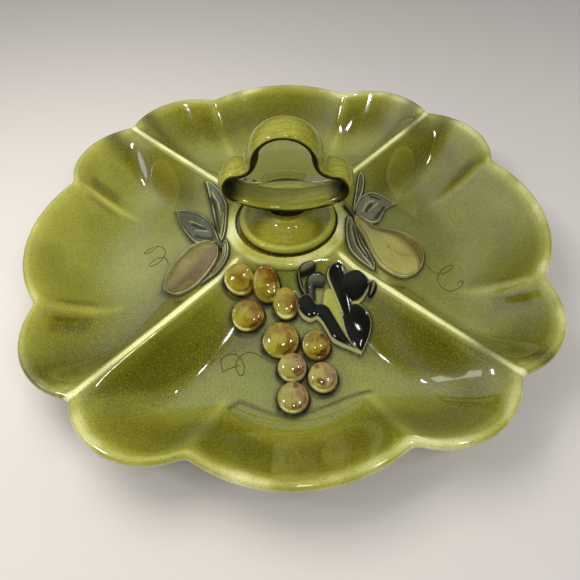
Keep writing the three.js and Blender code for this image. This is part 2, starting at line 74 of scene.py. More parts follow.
# Boss, seat and foot ring
HANDLE_FOOT_RADIUS = 31.3
SEAT_RADIUS = HANDLE_FOOT_RADIUS + 0.9
BOSS_RADIUS = SEAT_RADIUS + 4.5
BOSS_WALL_RUN = 13
BOSS_FOOT = BOSS_RADIUS + BOSS_WALL_RUN
COLLAR_RISE = 4
COLLAR_TOP = RIM_HEIGHT + COLLAR_RISE
SEAT_DEPTH = 2.5
SEAT_FLOOR = COLLAR_TOP - SEAT_DEPTH
BOSS_THICKNESS = SEAT_DEPTH + FLOOR_THICKNESS
CREST_SHOULDER = 21
FOOT_OUTER = 110.1
FOOT_INNER = 102.1
FOOT_DRAFT = 2
FOOT_FADE = 0.4
FOOT_END_ANGLE = math.asin((CREST_HALF_WIDTH + DIVIDER_RUN) / FOOT_OUTER)

# Handle: strap loop of tangent arcs, neck and round foot
HANDLE_BASE = SEAT_FLOOR + 0.3
HANDLE_TURN = -5 * DEGREE
HANDLE_SHIFT = 0.8
STRAP_WIDTH = 19.5
STRAP_THICKNESS = 7.2
ARCH_RADIUS = 18.3
ARCH_RISE = 32.4
SHOULDER_RADIUS = 9
SHOULDER_SPREAD = 27.2
WAIST_RADIUS = 9.5
CRADLE_RADIUS = 67.5
NECK_WIDTH = 21
NECK_DEPTH = 13
NECK_FLARE = 3
NECK_LENGTH = 7
NECK_START = 9.5
FOOT_TUCK = 1.1
FOOT_DISH = 4.9
BEAD_WIDTH = 6.4
STREAK_STRENGTH = 0.3
HANDLE_FOOT_EDGE = 4.3
HANDLE_FOOT_DOME = 3

# Bearings of the compartments' middles
FRONT = -QUARTER
RIGHT = 0
BACK = QUARTER
LEFT = 2 * QUARTER


def clamp01(t):
    return min(1.0, max(0.0, t))


def mix(a, b, t):
    return a + (b - a) * t


def ease(t):
    t = clamp01(t)
    return t * t * (3 - 2 * t)


def ramp(value, start, end):
    """Eased share of the way from a start to an end, in either direction."""
    return ease((value - start) / (end - start))


def swell(t):
    return math.sin(QUARTER * clamp01(t))


def hump(x, centre, width):
    return math.exp(-(((x - centre) / width) ** 2))


def stripes(off, bands):
    """Sum of bands beside a line, each given by its strength, centre and width."""
    return sum(strength * hump(off, centre, width) for strength, centre, width in bands)


def fading(distance, strength, run):
    return strength * math.exp(-max(0.0, distance) / run)


def round_share(off, half):
    return math.sqrt(max(0.0, 1 - (off / half) ** 2)) if half > TINY else 0.0


def smooth_max(a, b, blend):
    share = clamp01(0.5 + 0.5 * (a - b) / blend)
    return mix(b, a, share) + blend * share * (1 - share)


def smooth_min(a, b, blend):
    return -smooth_max(-a, -b, blend)


# Form of the ware

def from_middle(bearing):
    return abs(bearing - round(bearing / QUARTER) * QUARTER)


def lobe_reach(angle, offset, radius):
    aside = offset * math.sin(angle)
    return offset * math.cos(angle) + math.sqrt(max(0.0, radius**2 - aside**2))


def rim_radius(bearing, blend=CUSP_BLEND):
    angle = from_middle(bearing)
    centre = lobe_reach(angle, CENTRE_LOBE_OFFSET, CENTRE_LOBE_RADIUS)
    side = lobe_reach(angle - SIDE_LOBE_ANGLE, SIDE_LOBE_OFFSET, SIDE_LOBE_RADIUS)
    return smooth_max(centre, side, blend)


def edge_radius(bearing, blend=CUSP_BLEND):
    return rim_radius(bearing, blend) - LIP_ROUND + LIP_ROUND * math.cos(LIP_START)


def wall_depth(radius, bearing):
    """Depth of a lobe's wall: the ridges between lobes grow rounder on their way down."""
    inside = edge_radius(bearing) - radius
    soft_edge = edge_radius(bearing, CUSP_BLEND + RIDGE_ROUNDING * min(max(inside, 0), WALL_RUN))
    return mix(EDGE_DROP, BOWL_DEPTH, swell((soft_edge - radius) / WALL_RUN))


def crest_distance(radius, bearing):
    return radius * math.sin(QUARTER / 2 - from_middle(bearing))


def flank_share(radius, bearing):
    aside = crest_distance(radius, bearing) - CREST_HALF_WIDTH
    return swell(smooth_max(aside, 0, CREST_SOFT) / DIVIDER_RUN)


def collar_fall(radius):
    """Share of the fall from the collar's edge to the floor, steeper at its start."""
    run = (radius - BOSS_RADIUS) / BOSS_WALL_RUN
    return (ease(run) + swell(run)) / 2


def crown_height(radius, bearing):
    if radius <= BOSS_RADIUS:
        return COLLAR_TOP
    wall = wall_depth(radius, bearing)
    slope = (BOWL_DEPTH - DEPTH_AT_BOSS) / (FLOOR_FLAT_RADIUS - BOSS_FOOT)
    rise = DEPTH_AT_BOSS + slope * (radius - BOSS_FOOT)
    boss_share = collar_fall(radius)
    floor = mix(-COLLAR_RISE, smooth_min(wall, rise, FLOOR_BLEND), boss_share)
    crest = mix(-COLLAR_RISE, CREST_DROP, ease((radius - BOSS_RADIUS) / CREST_SHOULDER))
    return RIM_HEIGHT - mix(crest, floor, flank_share(radius, bearing))


def under_height(radius, bearing):
    wall_share = clamp01((edge_radius(bearing) - radius) / WALL_RUN)
    floor = mix(WALL_THICKNESS, FLOOR_THICKNESS, wall_share)
    ware = mix(CREST_THICKNESS, floor, flank_share(radius, bearing))
    boss_share = collar_fall(radius)
    return crown_height(radius, bearing) - mix(BOSS_THICKNESS, ware, boss_share)


def foot_height(radius, bearing):
    angle = QUARTER / 2 - from_middle(bearing)
    share = ease((angle / FOOT_END_ANGLE - 1) / FOOT_FADE + 1)
    return mix(under_height(radius, bearing), 0, share)


def crown_at(x, y):
    return crown_height(math.hypot(x, y), math.atan2(y, x))


# Pieces

def placed(name, data):
    """Object of the scene that shows a mesh, a lamp or the camera."""
    thing = bpy.data.objects.new(name, data)
    bpy.context.scene.collection.objects.link(thing)
    return thing


def finish_piece(name, bm, slot, material, node=None):
    """Turn a bmesh in millimetres into a piece on the dish's only body."""
    bmesh.ops.recalc_face_normals(bm, faces=bm.faces)
    bmesh.ops.scale(bm, vec=(MM, MM, MM), verts=bm.verts)
    mesh = bpy.data.meshes.new(name)
    bm.to_mesh(mesh)
    bm.free()
    mesh.shade_smooth()
    mesh.materials.append(material)
    piece = placed(name, mesh)
    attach(piece, "root")
    if node:
        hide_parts(node)


GLAZE_MASKS = ("thin_and_highlight", "deep_and_shade", "tone", "ink_and_shade")


def glaze_layers(bm):
    """Layers that say where the glaze is thin or deep, the tone under it, and the inked lines;
    painted highlights lie in the thin layer, and painted shade and shadow in the deep and ink
    layers.
    """
    return [bm.verts.layers.float.new(name) for name in GLAZE_MASKS]


def turned_profile(profile, steps):
    """Closed round form from radius and height pairs, from the axis and back to it."""
    bm = bmesh.new()
    line = [bm.verts.new((radius, 0, height)) for radius, height in profile]
    edges = [bm.edges.new(pair) for pair in zip(line, line[1:])]
    bmesh.ops.spin(bm, geom=line + edges, cent=(0, 0, 0), axis=(0, 0, 1),
                   angle=TURN, steps=steps, use_merge=True)
    bmesh.ops.remove_doubles(bm, verts=bm.verts, dist=MM)
    return bm


# Rings of the body

BODY_STEPS = 600
CROWN_RINGS = 100
RING_PULL = 0.25
DIVIDER_PULL = 0.35
HOLLOW_RINGS = 9
LIP_ANGLES = (130, 110, 90, 70, 50, 30, 10, -10, -30, -50)
OUTER_WALL_SHARES = (0.06, 0.14, 0.24, 0.34, 0.45, 0.56, 0.66)
BOSS_UNDER_RADII = (24, 12, 0)
FOOT_ROUND_OUT = 0.5
FOOT_ROUND_IN = 0.6

# Shares of the seat's radius and depth, then millimetres out from the seat and down from the collar
SEAT_RINGS = [(0, 0), (0.5, 0), (0.9, 0), (0.975, 0), (0.993, 0.08), (1, 0.3), (1, 0.6)]
COLLAR_RINGS = [(0.12, 0.35), (0.45, 0.12), (1.0, 0), (2.2, 0), (3.4, 0)]


def circle_at(radius, height):
    return lambda bearing: (radius, height)


def circle_under(radius, height):
    return lambda bearing: (radius, height(radius, bearing))


def crown_ring(share):
    def place(bearing):
        pulled = share - RING_PULL * math.sin(TURN * share) / TURN
        radius = mix(BOSS_RADIUS, edge_radius(bearing), pulled)
        return radius, crown_height(radius, bearing)
    return place


def lip_ring(angle):
    def place(bearing):
        radius = rim_radius(bearing) - LIP_ROUND + LIP_ROUND * math.cos(angle)
        return radius, RIM_HEIGHT - LIP_ROUND + LIP_ROUND * math.sin(angle)
    return place


def outer_wall_ring(share):
    def place(bearing):
        radius = edge_radius(bearing) - share * WALL_RUN
        return radius, under_height(radius, bearing)
    return place


def upper_rings():
    """Rings from the middle of the seat over the collar, floors and walls to the lip."""
    rings = [circle_at(SEAT_RADIUS * r, SEAT_FLOOR + SEAT_DEPTH * z) for r, z in SEAT_RINGS]
    rings += [circle_at(SEAT_RADIUS + r, COLLAR_TOP - z) for r, z in COLLAR_RINGS]
    rings += [crown_ring(ring / CROWN_RINGS) for ring in range(CROWN_RINGS + 1)]
    return rings + [lip_ring(angle * DEGREE) for angle in LIP_ANGLES]


def under_rings():
    """Rings down the outer wall and over the foot ring to the middle of the underside."""
    foot = (FOOT_OUTER + FOOT_ROUND_OUT, FOOT_OUTER - FOOT_ROUND_IN,
            FOOT_INNER + FOOT_ROUND_IN, FOOT_INNER - FOOT_ROUND_OUT)
    shares = [step / HOLLOW_RINGS for step in range(HOLLOW_RINGS + 1)]
    hollow = [mix(FOOT_INNER - FOOT_DRAFT, BOSS_RADIUS, share) for share in shares]
    rings = [outer_wall_ring(share) for share in OUTER_WALL_SHARES]
    rings.append(circle_under(FOOT_OUTER + FOOT_DRAFT, under_height))
    rings += [circle_under(radius, foot_height) for radius in foot]
    return rings + [circle_under(radius, under_height) for radius in (*hollow, *BOSS_UNDER_RADII)]


# Glaze on the body, with painted light and shade: strengths from 0 to 1, lengths in millimetres,
# pairs for two ends of a change

COLLAR_LINE = BOSS_RADIUS + 3.6
UNDER_THIN = 0.2
UNDER_DEEP = 0.3
INK_START = SEAT_RADIUS + 2
LIP_SOFT_DEPTH = 5
LIP_SOFT_RADIUS = 120
LIP_SOFT_ROUNDS = 3

OUTSIDE_THIN = 0.25
OUTSIDE_DEPTH = 1.5 * LIP_ROUND
# Painted light: the lip's pale band and glow are set apart on the left side
LIP_THIN_AND_LIGHT = (0.63, 0.2)
LIP_RUN = 4.5
LIP_GLOW = (0.15, 0.5)
LIP_GLOW_RUN = 9
# Painted highlight line along the crests, with thin glaze
CREST_HIGHLIGHT_STRIPES = [(0.95, 0.3, 1.4), (0.35, 0, 4.5)]
CREST_START = 10
# Thin glaze on the collar, with a painted highlight on its front
COLLAR_THIN_AND_HIGHLIGHT = (0.83, 0.05)
COLLAR_TURN = 1.6
COLLAR_FADE = 1.2
RIDGE_STRIPES = [(0.5, 0, 2.6), (0.22, 0, 6)]
RIDGE_GROWTH = 1.8
RIDGE_START = 0.1

# Painted shade in the seat's groove, with deep glaze
GROOVE_REACH = SEAT_RADIUS + 0.4
GROOVE_DEPTHS = (COLLAR_TOP - 0.3, COLLAR_TOP - 1.5)
# Painted shade on the dividers' flanks; painted dark reflection on the steep flanks in front
FLANK_RADII = (55, 85)
FLANK_SHADE = 0.9
FLANK_CENTRE = (16, 24)
FLANK_WIDTH = (8.5, 20)
FRONT_FLANK_START = (2.5, 7.5)
FRONT_FLANK_EDGE = 23.5
FRONT_FLANK_BEND = 17
FRONT_FLANK_BEND_RADII = (80, 152)
FRONT_FLANK_FLARE = 0.6
FRONT_FLANK_FLARE_RADIUS = 104
FRONT_FLANK_STEPS = [(0.8, 3.5), (0.45, 18)]
# Deep glaze and painted shade on the walls' lobes, less on the left and on the sides
WALL_DEEP_AND_SHADE = 0.8
WALL_BAND = (0.34, 0.25)
WALL_LEAST = 0.1
WALL_TURN = 0.8
SHADE_DEEP = 0.42
SHADE_WALL = (0.1, 0.5)
SHADE_CREST = (20, 38)
RIGHT_TURN = (0.3125, 0.9375)
LEFT_TURN = (1 / 3, 1)
RIDGE_SIDE_UP = (0.08, 0.22)
RIDGE_SIDE_DOWN = (0.64, 0.48)
# Strength of the painted dark reflection wedge beside a ridge, where it starts and where it ends
SIDE_LOBE_REFLECTION = (0.85, (2.5, 5.5), (18, 12))
CENTRE_LOBE_REFLECTION = (0.6, (2, 5), (10, 5))
# Width and ink of the painted dark reflection line on the front floor
REFLECTION_LINE_WIDTH = 1.3
REFLECTION_LINE_INK = 0.5
# Painted sheen on the floors
SHEEN_WALL = (24, 46)
SHEEN_CREST = (13, 29)

INK_LINE = 0.8
# Dark pigment with painted shadow round the relief and grapes, drifted to the lower left; painted
# shade at the collar's foot and beside the crests
SHADOW_DRIFT = (0.6, 0.9)
RELIEF_INK_AND_SHADOW = (0.6, 0.8)
RELIEF_SHADE_HAZE = (0.14, 6)
GRAPE_SHADOW = (0.95, 1.7)
GRAPE_SHADE_HAZE = (0.3, 7)
COLLAR_SHADE = 0.85
COLLAR_SHADE_WIDTH = 0.9
COLLAR_SHADE_FLANK = (0.2, 0.7)
CREST_SHADE = [(0.4, 3.5, 0.6)]


def left_share(bearing):
    return ramp(-math.cos(bearing), *LEFT_TURN)


def ridge_distance(radius, bearing):
    return radius * (from_middle(bearing) - CUSP_ANGLE)


def thin_glaze_and_highlight(radius, bearing, height):
    """Share of thin, pale glaze and painted light: the lip, its band and glow set apart on the left
    as painted light; the crests, with a painted highlight line; the collar, with a painted
    highlight on its front; and the ridges between lobes.
    """
    inside = edge_radius(bearing) - radius
    if height < RIM_HEIGHT - OUTSIDE_DEPTH and inside < 0:
        return OUTSIDE_THIN
    left = left_share(bearing)
    lip = mix(*LIP_THIN_AND_LIGHT, left) * ramp(inside, LIP_RUN, 0)
    lip += fading(inside, mix(*LIP_GLOW, left), LIP_GLOW_RUN)
    crest = stripes(crest_distance(radius, bearing), CREST_HIGHLIGHT_STRIPES)
    crest *= ramp(radius, BOSS_RADIUS, BOSS_RADIUS + CREST_START)
    collar = 0
    if radius > SEAT_RADIUS:
        collar = mix(*COLLAR_THIN_AND_HIGHLIGHT, ease(COLLAR_TURN * math.sin(bearing)))
        collar *= ramp(radius, COLLAR_LINE, COLLAR_LINE - COLLAR_FADE)
    wall = 1 - clamp01(inside / WALL_RUN)
    ridge = stripes(ridge_distance(radius, bearing), RIDGE_STRIPES)
    ridge *= ease(RIDGE_GROWTH * wall + RIDGE_START)
    return clamp01(max(lip, crest, collar, ridge))


def reflection_line_share(radius, bearing):
    """Nearness to the painted dark reflection line on the front floor."""
    if not REFLECTION_LINE_NEAR < radius < REFLECTION_LINE_FAR or abs(bearing - FRONT) > QUARTER / 2:
        return 0
    place = Vector((radius * math.cos(bearing), radius * math.sin(bearing)))
    return hump(stroke_distance(place, DARK_REFLECTION_LINE), 0, REFLECTION_LINE_WIDTH)


def flank_shade(radius, bearing):
    """Painted shade on a divider's flank: a soft band, or in front all of the steep part,
    crisp-edged as a painted dark reflection.
    """
    off_crest = crest_distance(radius, bearing)
    if abs(bearing - FRONT) < QUARTER / 2:
        start, end = FRONT_FLANK_BEND_RADII
        bent = (max(0.0, radius - start) / (end - start)) ** 2
        edge = FRONT_FLANK_EDGE - FRONT_FLANK_BEND * bent
        edge += FRONT_FLANK_FLARE * max(0.0, FRONT_FLANK_FLARE_RADIUS - radius)
        flank = max(deep_and_shade * ramp(off_crest, edge + run, edge) for deep_and_shade, run in FRONT_FLANK_STEPS)
        flank *= ramp(off_crest, *FRONT_FLANK_START)
    else:
        low_left = left_share(bearing) if bearing < 0 else 0
        centre, width = mix(*FLANK_CENTRE, low_left), mix(*FLANK_WIDTH, low_left)
        flank = FLANK_SHADE * hump(off_crest, centre, width)
    return flank * ramp(radius, *FLANK_RADII)


def reflection_wedge(off_ridge, strength, start, end):
    return strength * ramp(off_ridge, *start) * ramp(off_ridge, *end)


def deep_glaze_and_shade(radius, bearing, height):
    """Share of deep, dark glaze and painted shade: in the seat's groove; painted shade on the
    dividers' flanks and on the right; painted dark reflections beside the ridges and in a line low
    in front; deep glaze and painted shade on the walls.
    """
    groove = ramp(height, *GROOVE_DEPTHS) if radius < GROOVE_REACH else 0
    inside = (edge_radius(bearing) - radius) / WALL_RUN
    front_or_back = mix(WALL_LEAST, 1, ease(abs(math.sin(bearing)) / WALL_TURN))
    lobe = WALL_DEEP_AND_SHADE * hump(inside, *WALL_BAND)
    lobe *= mix(front_or_back, WALL_LEAST, left_share(bearing))
    shaded = SHADE_DEEP * ramp(math.cos(bearing), *RIGHT_TURN) * ramp(inside, *SHADE_WALL)
    shaded *= ramp(crest_distance(radius, bearing), *SHADE_CREST)
    # Painted dark reflection in wedges beside the ridges between lobes
    off_ridge = ridge_distance(radius, bearing)
    ridge_reflection = max(reflection_wedge(off_ridge, *SIDE_LOBE_REFLECTION),
                     reflection_wedge(-off_ridge, *CENTRE_LOBE_REFLECTION))
    ridge_reflection *= ramp(inside, *RIDGE_SIDE_UP) * ramp(inside, *RIDGE_SIDE_DOWN)
    flank = flank_shade(radius, bearing)
    return clamp01(max(groove, flank, lobe, shaded, ridge_reflection, reflection_line_share(radius, bearing)))


def painted_sheen_share(radius, bearing):
    """Share of painted sheen on the floors: a greyish reflection of the room laid into the colour.
    """
    inside = edge_radius(bearing) - radius
    return ramp(inside, *SHEEN_WALL) * ramp(crest_distance(radius, bearing), *SHEEN_CREST)


def ink_and_painted_shade(radius, bearing, outlines, grape_outlines):
    """Dark colour that spread from the drawn relief into the glaze, with painted shadow drifted to
    its lower left and heavier round the grapes; painted shade along the collar's foot and beside
    the crests; and the painted reflection line on the front floor.
    """
    x, y = radius * math.cos(bearing), radius * math.sin(bearing)
    away = min(outlines.find((x + aside, y + back, 0))[2] for aside, back in ((0, 0), SHADOW_DRIFT))
    drawn = fading(away - INK_LINE, *RELIEF_INK_AND_SHADOW) + fading(away, *RELIEF_SHADE_HAZE)
    round_grapes = grape_outlines.find((x + SHADOW_DRIFT[0] / 2, y + SHADOW_DRIFT[1], 0))[2]
    drawn = max(drawn, fading(round_grapes - INK_LINE, *GRAPE_SHADOW),
                fading(round_grapes, *GRAPE_SHADE_HAZE))
    collar = COLLAR_SHADE * hump(radius, COLLAR_LINE, COLLAR_SHADE_WIDTH)
    collar *= ramp(flank_share(radius, bearing), *COLLAR_SHADE_FLANK)
    crest = stripes(crest_distance(radius, bearing), CREST_SHADE)
    crest *= ramp(radius, BOSS_FOOT, BOSS_FOOT + CREST_START)
    reflection_line = REFLECTION_LINE_INK * reflection_line_share(radius, bearing) ** 2
    return clamp01(max(drawn, collar, crest, reflection_line))


def make_body(outlines, grape_outlines, material):
    """Sheet wrapped round the axis, with a row for each ring."""
    upper = upper_rings()
    rings = upper + under_rings()
    last = len(rings) - 1
    bm = bmesh.new()
    bmesh.ops.create_grid(bm, x_segments=last, y_segments=BODY_STEPS, size=1)
    thin_and_highlight, deep_and_shade, tone, ink_and_shade = glaze_layers(bm)
    for vert in bm.verts:
        ring = round((vert.co.x + 1) / 2 * last)
        turn = vert.co.y * math.pi
        bearing = QUARTER / 2 + turn - DIVIDER_PULL * math.sin(DIVIDERS * turn) / DIVIDERS
        bearing = (bearing + math.pi) % TURN - math.pi
        radius, height = rings[ring](bearing)
        vert.co = (radius * math.cos(bearing), radius * math.sin(bearing), height)
        if ring < len(upper):
            # Thin glaze with painted highlight, deep glaze with painted shade, painted sheen as
            # tone, and ink with painted shadow
            vert[thin_and_highlight] = thin_glaze_and_highlight(radius, bearing, height)
            vert[deep_and_shade] = deep_glaze_and_shade(radius, bearing, height)
            vert[tone] = painted_sheen_share(radius, bearing)
            if radius > INK_START:
                vert[ink_and_shade] = ink_and_painted_shade(radius, bearing, outlines, grape_outlines)
        else:
            vert[thin_and_highlight], vert[deep_and_shade] = UNDER_THIN, UNDER_DEEP
    bmesh.ops.remove_doubles(bm, verts=bm.verts, dist=MM)
    lip = [vert for vert in bm.verts
           if vert.co.z > RIM_HEIGHT - LIP_SOFT_DEPTH and vert.co.xy.length > LIP_SOFT_RADIUS]
    for _ in range(LIP_SOFT_ROUNDS):
        bmesh.ops.smooth_vert(bm, verts=lip, factor=0.5,
                              use_axis_x=True, use_axis_y=True, use_axis_z=True)
    finish_piece("ware_body", bm, "body_glaze", material, "dish_body")


# Handle

STRAP_SIDES = 40
# Steps of the cradle, shoulder, waist and arch
ARC_STEPS = (24, 28, 16, 32)
MIRROR_GAP = 0.01
NECK_RINGS = 10
NECK_SIDES = 64
FOOT_SIDES = 128
FOOT_RINGS = 8
FOOT_FLAT_SHARE = 0.6
FOOT_CURVE = 3.5
# Rolled edge of the foot: millimetres inward from its edge, and up
FOOT_BEAD = [
    (1.2, 0), (0.3, 0.5), (0, 1.6), (0, 3.4), (0.3, 4.7), (1.0, 5.5), (2.1, 5.9), (3.3, 5.8),
    (4.5, 5.4), (5.5, 5.0), (BEAD_WIDTH, FOOT_DISH)]
CAST_GRAIN = 0.49
CAST_SOFT_ROUNDS = 6
BEND_ROUNDS = 4
BEND_THIN = 3.0
BEND_DEEP = 4.0

# Ink, painted shade and painted shadow on the handle, and the pairs between which a place or a turn
# of the surface takes it up
ARCH_SHADOW = 0.92
ARCH_INWARD = (-0.4, -0.05)
ARCH_UPWARD = (0.75, 0.35)
BACK_SHADE = 0.9
BACK_TURN = (0.4, 0.7)
FRONT_HIGHLIGHT_TURN = (0.2, -0.1)
UNDER_SHADOW = 0.5
LOW_SHADOW = 0.95
LOW_TURN = (0.02, -0.3)
LOW_SLOPE = (0.6, 0.35)
LOW_FRONT = (0.45, 0.75)
LOW_FADE = 3
SHOULDER_SHADE = 0.95
SHOULDER_RING = (1, 4)
SHOULDER_FADE = 5
FOOT_THIN_AND_LIGHT = (0.12, 0.4)
BEAD_START = HANDLE_FOOT_RADIUS - FOOT_TUCK - 0.7 * BEAD_WIDTH
BEAD_FADE = 2
BEAD_SHADE = 0.9
BEAD_LOW = (4, 2)
REFLECTION_PATCH_DEEP = 0.75
REFLECTION_PATCH_BAND = (20, 5.5)
REFLECTION_PATCH_FRONT = (2, -4)


def loop_arcs():
    """Centre and sweep of the loop's arcs from the middle of the cradle to the top of the arch."""
    drop = math.sqrt((CRADLE_RADIUS - SHOULDER_RADIUS) ** 2 - SHOULDER_SPREAD**2)
    cradle = Vector((0, CRADLE_RADIUS))
    shoulder = Vector((SHOULDER_SPREAD, CRADLE_RADIUS - drop))
    arch = Vector((0, ARCH_RISE))
    reach = SHOULDER_RADIUS + WAIST_RADIUS
    span = arch - shoulder
    along = reach**2 - (ARCH_RADIUS + WAIST_RADIUS) ** 2 + span.length_squared
    along /= 2 * span.length
    normal = Vector((span.y, -span.x)).normalized()
    waist = shoulder + span.normalized() * along + normal * math.sqrt(reach**2 - along**2)

    def heading(a, b):
        return math.atan2(b.y - a.y, b.x - a.x)

    cradle_end = heading(cradle, shoulder)
    shoulder_end = heading(shoulder, waist)
    waist_end = heading(waist, arch) % TURN
    return [
        (cradle, cradle_end + QUARTER),
        (shoulder, shoulder_end - cradle_end),
        (waist, waist_end - shoulder_end - 2 * QUARTER),
        (arch, QUARTER - heading(arch, waist)),
    ]


SHOULDER_CENTRE = loop_arcs()[1][0]


def strap_loop(base):
    bm = bmesh.new()
    for vert in bmesh.ops.create_circle(bm, segments=STRAP_SIDES, radius=1)["verts"]:
        vert.co = (0, vert.co.x * STRAP_WIDTH / 2, base + vert.co.y * STRAP_THICKNESS / 2)
    geom = bm.edges[:]
    for (centre, sweep), steps in zip(loop_arcs(), ARC_STEPS):
        spun = bmesh.ops.spin(bm, geom=geom, cent=(centre.x, 0, base + centre.y), axis=(0, -1, 0),
                              angle=sweep, steps=steps)
        geom = [part for part in spun["geom_last"] if isinstance(part, bmesh.types.BMEdge)]
    half = bm.verts[:] + bm.edges[:] + bm.faces[:]
    bmesh.ops.mirror(bm, geom=half, axis="X", merge_dist=MIRROR_GAP)
    return bm


def handle_neck(low, high):
    profile = [(0, low)]
    for step in range(NECK_RINGS + 1):
        share = step / NECK_RINGS
        profile.append((NECK_WIDTH / 2 + NECK_FLARE * (1 - share) ** 2, mix(low, high, share)))
    profile.append((0, high))
    bm = turned_profile(profile, NECK_SIDES)
    bmesh.ops.scale(bm, vec=(1, NECK_DEPTH / NECK_WIDTH, 1), verts=bm.verts)
    return bm


def handle_foot():
    """Round foot: a rolled edge, a shallow dish inside it, and a rise to the neck."""
    edge = HANDLE_FOOT_RADIUS - FOOT_TUCK
    profile = [(0, 0), (edge * FOOT_FLAT_SHARE, 0)]
    profile += [(edge - inward, height) for inward, height in FOOT_BEAD]
    for step in range(1, FOOT_RINGS + 1):
        share = step / FOOT_RINGS
        profile.append((mix(edge - BEAD_WIDTH, NECK_WIDTH / 2, share),
                        mix(FOOT_DISH, NECK_START, share**FOOT_CURVE)))
    profile.append((0, NECK_START))
    return turned_profile(profile, FOOT_SIDES)


def cast_in_one(parts):
    """Bmesh of parts that overlap, fused and softened where they meet."""
    fused = bpy.data.meshes.new("handle_parts")
    whole = bmesh.new()
    for part in parts:
        bmesh.ops.recalc_face_normals(part, faces=part.faces)
        scratch = bpy.data.meshes.new("handle_part")
        part.to_mesh(scratch)
        part.free()
        whole.from_mesh(scratch)
        bpy.data.meshes.remove(scratch)
    whole.to_mesh(fused)
    whole.free()
    blank = placed("handle_blank", fused)
    remesh = blank.modifiers.new("Cast in one", "REMESH")
    remesh.mode = "VOXEL"
    remesh.voxel_size = CAST_GRAIN
    soften = blank.modifiers.new("Soft joints", "SMOOTH")
    soften.factor = 0.5
    soften.iterations = CAST_SOFT_ROUNDS
    evaluated = blank.evaluated_get(bpy.context.evaluated_depsgraph_get())
    cast = bpy.data.meshes.new_from_object(evaluated)
    bm = bmesh.new()
    bm.from_mesh(cast)
    bpy.data.objects.remove(blank)
    bpy.data.meshes.remove(fused)
    bpy.data.meshes.remove(cast)
    return bm


def bent_masks(bm, layers):
    """Thin glaze on ridges and deep glaze in hollows, from how the surface bends."""
    bm.normal_update()
    thin_and_highlight, deep_and_shade = layers[:2]
    bend = []
    for vert in bm.verts:
        around = [edge.other_vert(vert).co for edge in vert.link_edges]
        middle = sum(around, Vector()) / len(around)
        span = sum((place - vert.co).length for place in around) / len(around)
        bend.append((middle - vert.co).dot(vert.normal) / max(span, TINY) ** 2)
    bm.verts.index_update()
    for _ in range(BEND_ROUNDS):
        bend = [0.5 * bend[v.index] + 0.5 * sum(bend[e.other_vert(v).index] for e in v.link_edges)
                / len(v.link_edges) for v in bm.verts]
    for vert in bm.verts:
        vert[thin_and_highlight] = clamp01(-bend[vert.index] * BEND_THIN)
        vert[deep_and_shade] = clamp01(bend[vert.index] * BEND_DEEP)


def at_least(vert, layer, share):
    vert[layer] = max(vert[layer], share)


def shade_arch(vert, layers, loop_base):
    """Shadow on the inner side of the arch."""
    _, deep_and_shade, _, ink_and_shade = layers
    inward = Vector((-vert.co.x, 0, loop_base + ARCH_RISE - vert.co.z)).normalized()
    facing = ramp(vert.normal.dot(inward), *ARCH_INWARD) * ramp(vert.normal.z, *ARCH_UPWARD)
    at_least(vert, deep_and_shade, facing)
    at_least(vert, ink_and_shade, ARCH_SHADOW * facing)


def shade_strap(vert, layers, loop_base):
    """Streaks along the strap; pale edges on its front only, as painted highlight; painted shade on
    its back edge and inside its shoulders; painted shadow on its low side and under it down the
    neck.
    """
    thin_and_highlight, deep_and_shade, tone, ink_and_shade = layers
    place, facing = vert.co, vert.normal
    vert[tone] = STREAK_STRENGTH
    # Pale edges kept on the front only, as painted highlight; painted shade along the back edge
    vert[thin_and_highlight] *= ramp(facing.y, *FRONT_HIGHLIGHT_TURN)
    at_least(vert, ink_and_shade, BACK_SHADE * ramp(facing.y, *BACK_TURN))
    # Painted shadow under the strap and down the neck
    if place.z < loop_base - STRAP_THICKNESS / 2:
        vert[deep_and_shade] = 1
        at_least(vert, ink_and_shade, UNDER_SHADOW)
    # Painted shadow on the strap's low side
    front_slope = ramp(facing.z, *LOW_SLOPE) * ramp(-facing.y, *LOW_FRONT)
    low = max(ramp(facing.z, *LOW_TURN), front_slope)
    top = loop_base + STRAP_THICKNESS
    at_least(vert, ink_and_shade, LOW_SHADOW * low * ramp(place.z, top, top - LOW_FADE))
    # Painted shade inside the shoulders
    shoulder = SHOULDER_CENTRE
    inside = Vector((shoulder.x - abs(place.x), 0, loop_base + shoulder.y - place.z)).length
    if inside < SHOULDER_RADIUS and place.x * facing.x < 0:
        beside = ramp(abs(place.x), shoulder.x - SHOULDER_FADE, shoulder.x + SHOULDER_FADE)
        at_least(vert, ink_and_shade, SHOULDER_SHADE * ramp(inside, *SHOULDER_RING) * beside)


def shade_foot(vert, layers):
    """Pale bead with painted shade on its low edge, two patches of painted dark reflection in the
    dish inside it, and the dish made a little paler as painted light.
    """
    thin_and_highlight, deep_and_shade, _, ink_and_shade = layers
    place = vert.co
    bead = ramp(place.xy.length, BEAD_START, BEAD_START + BEAD_FADE)
    # Pale bead, and the dish made a little paler as painted light
    at_least(vert, thin_and_highlight, mix(*FOOT_THIN_AND_LIGHT, bead))
    # Painted dark reflection in two patches
    reflected_patch = hump(abs(place.x), *REFLECTION_PATCH_BAND) * ramp(place.y, *REFLECTION_PATCH_FRONT) * (1 - bead)
    at_least(vert, deep_and_shade, REFLECTION_PATCH_DEEP * reflected_patch)
    # Painted shade on the bead's low edge
    vert[ink_and_shade] = BEAD_SHADE * bead * ramp(place.z, *BEAD_LOW)


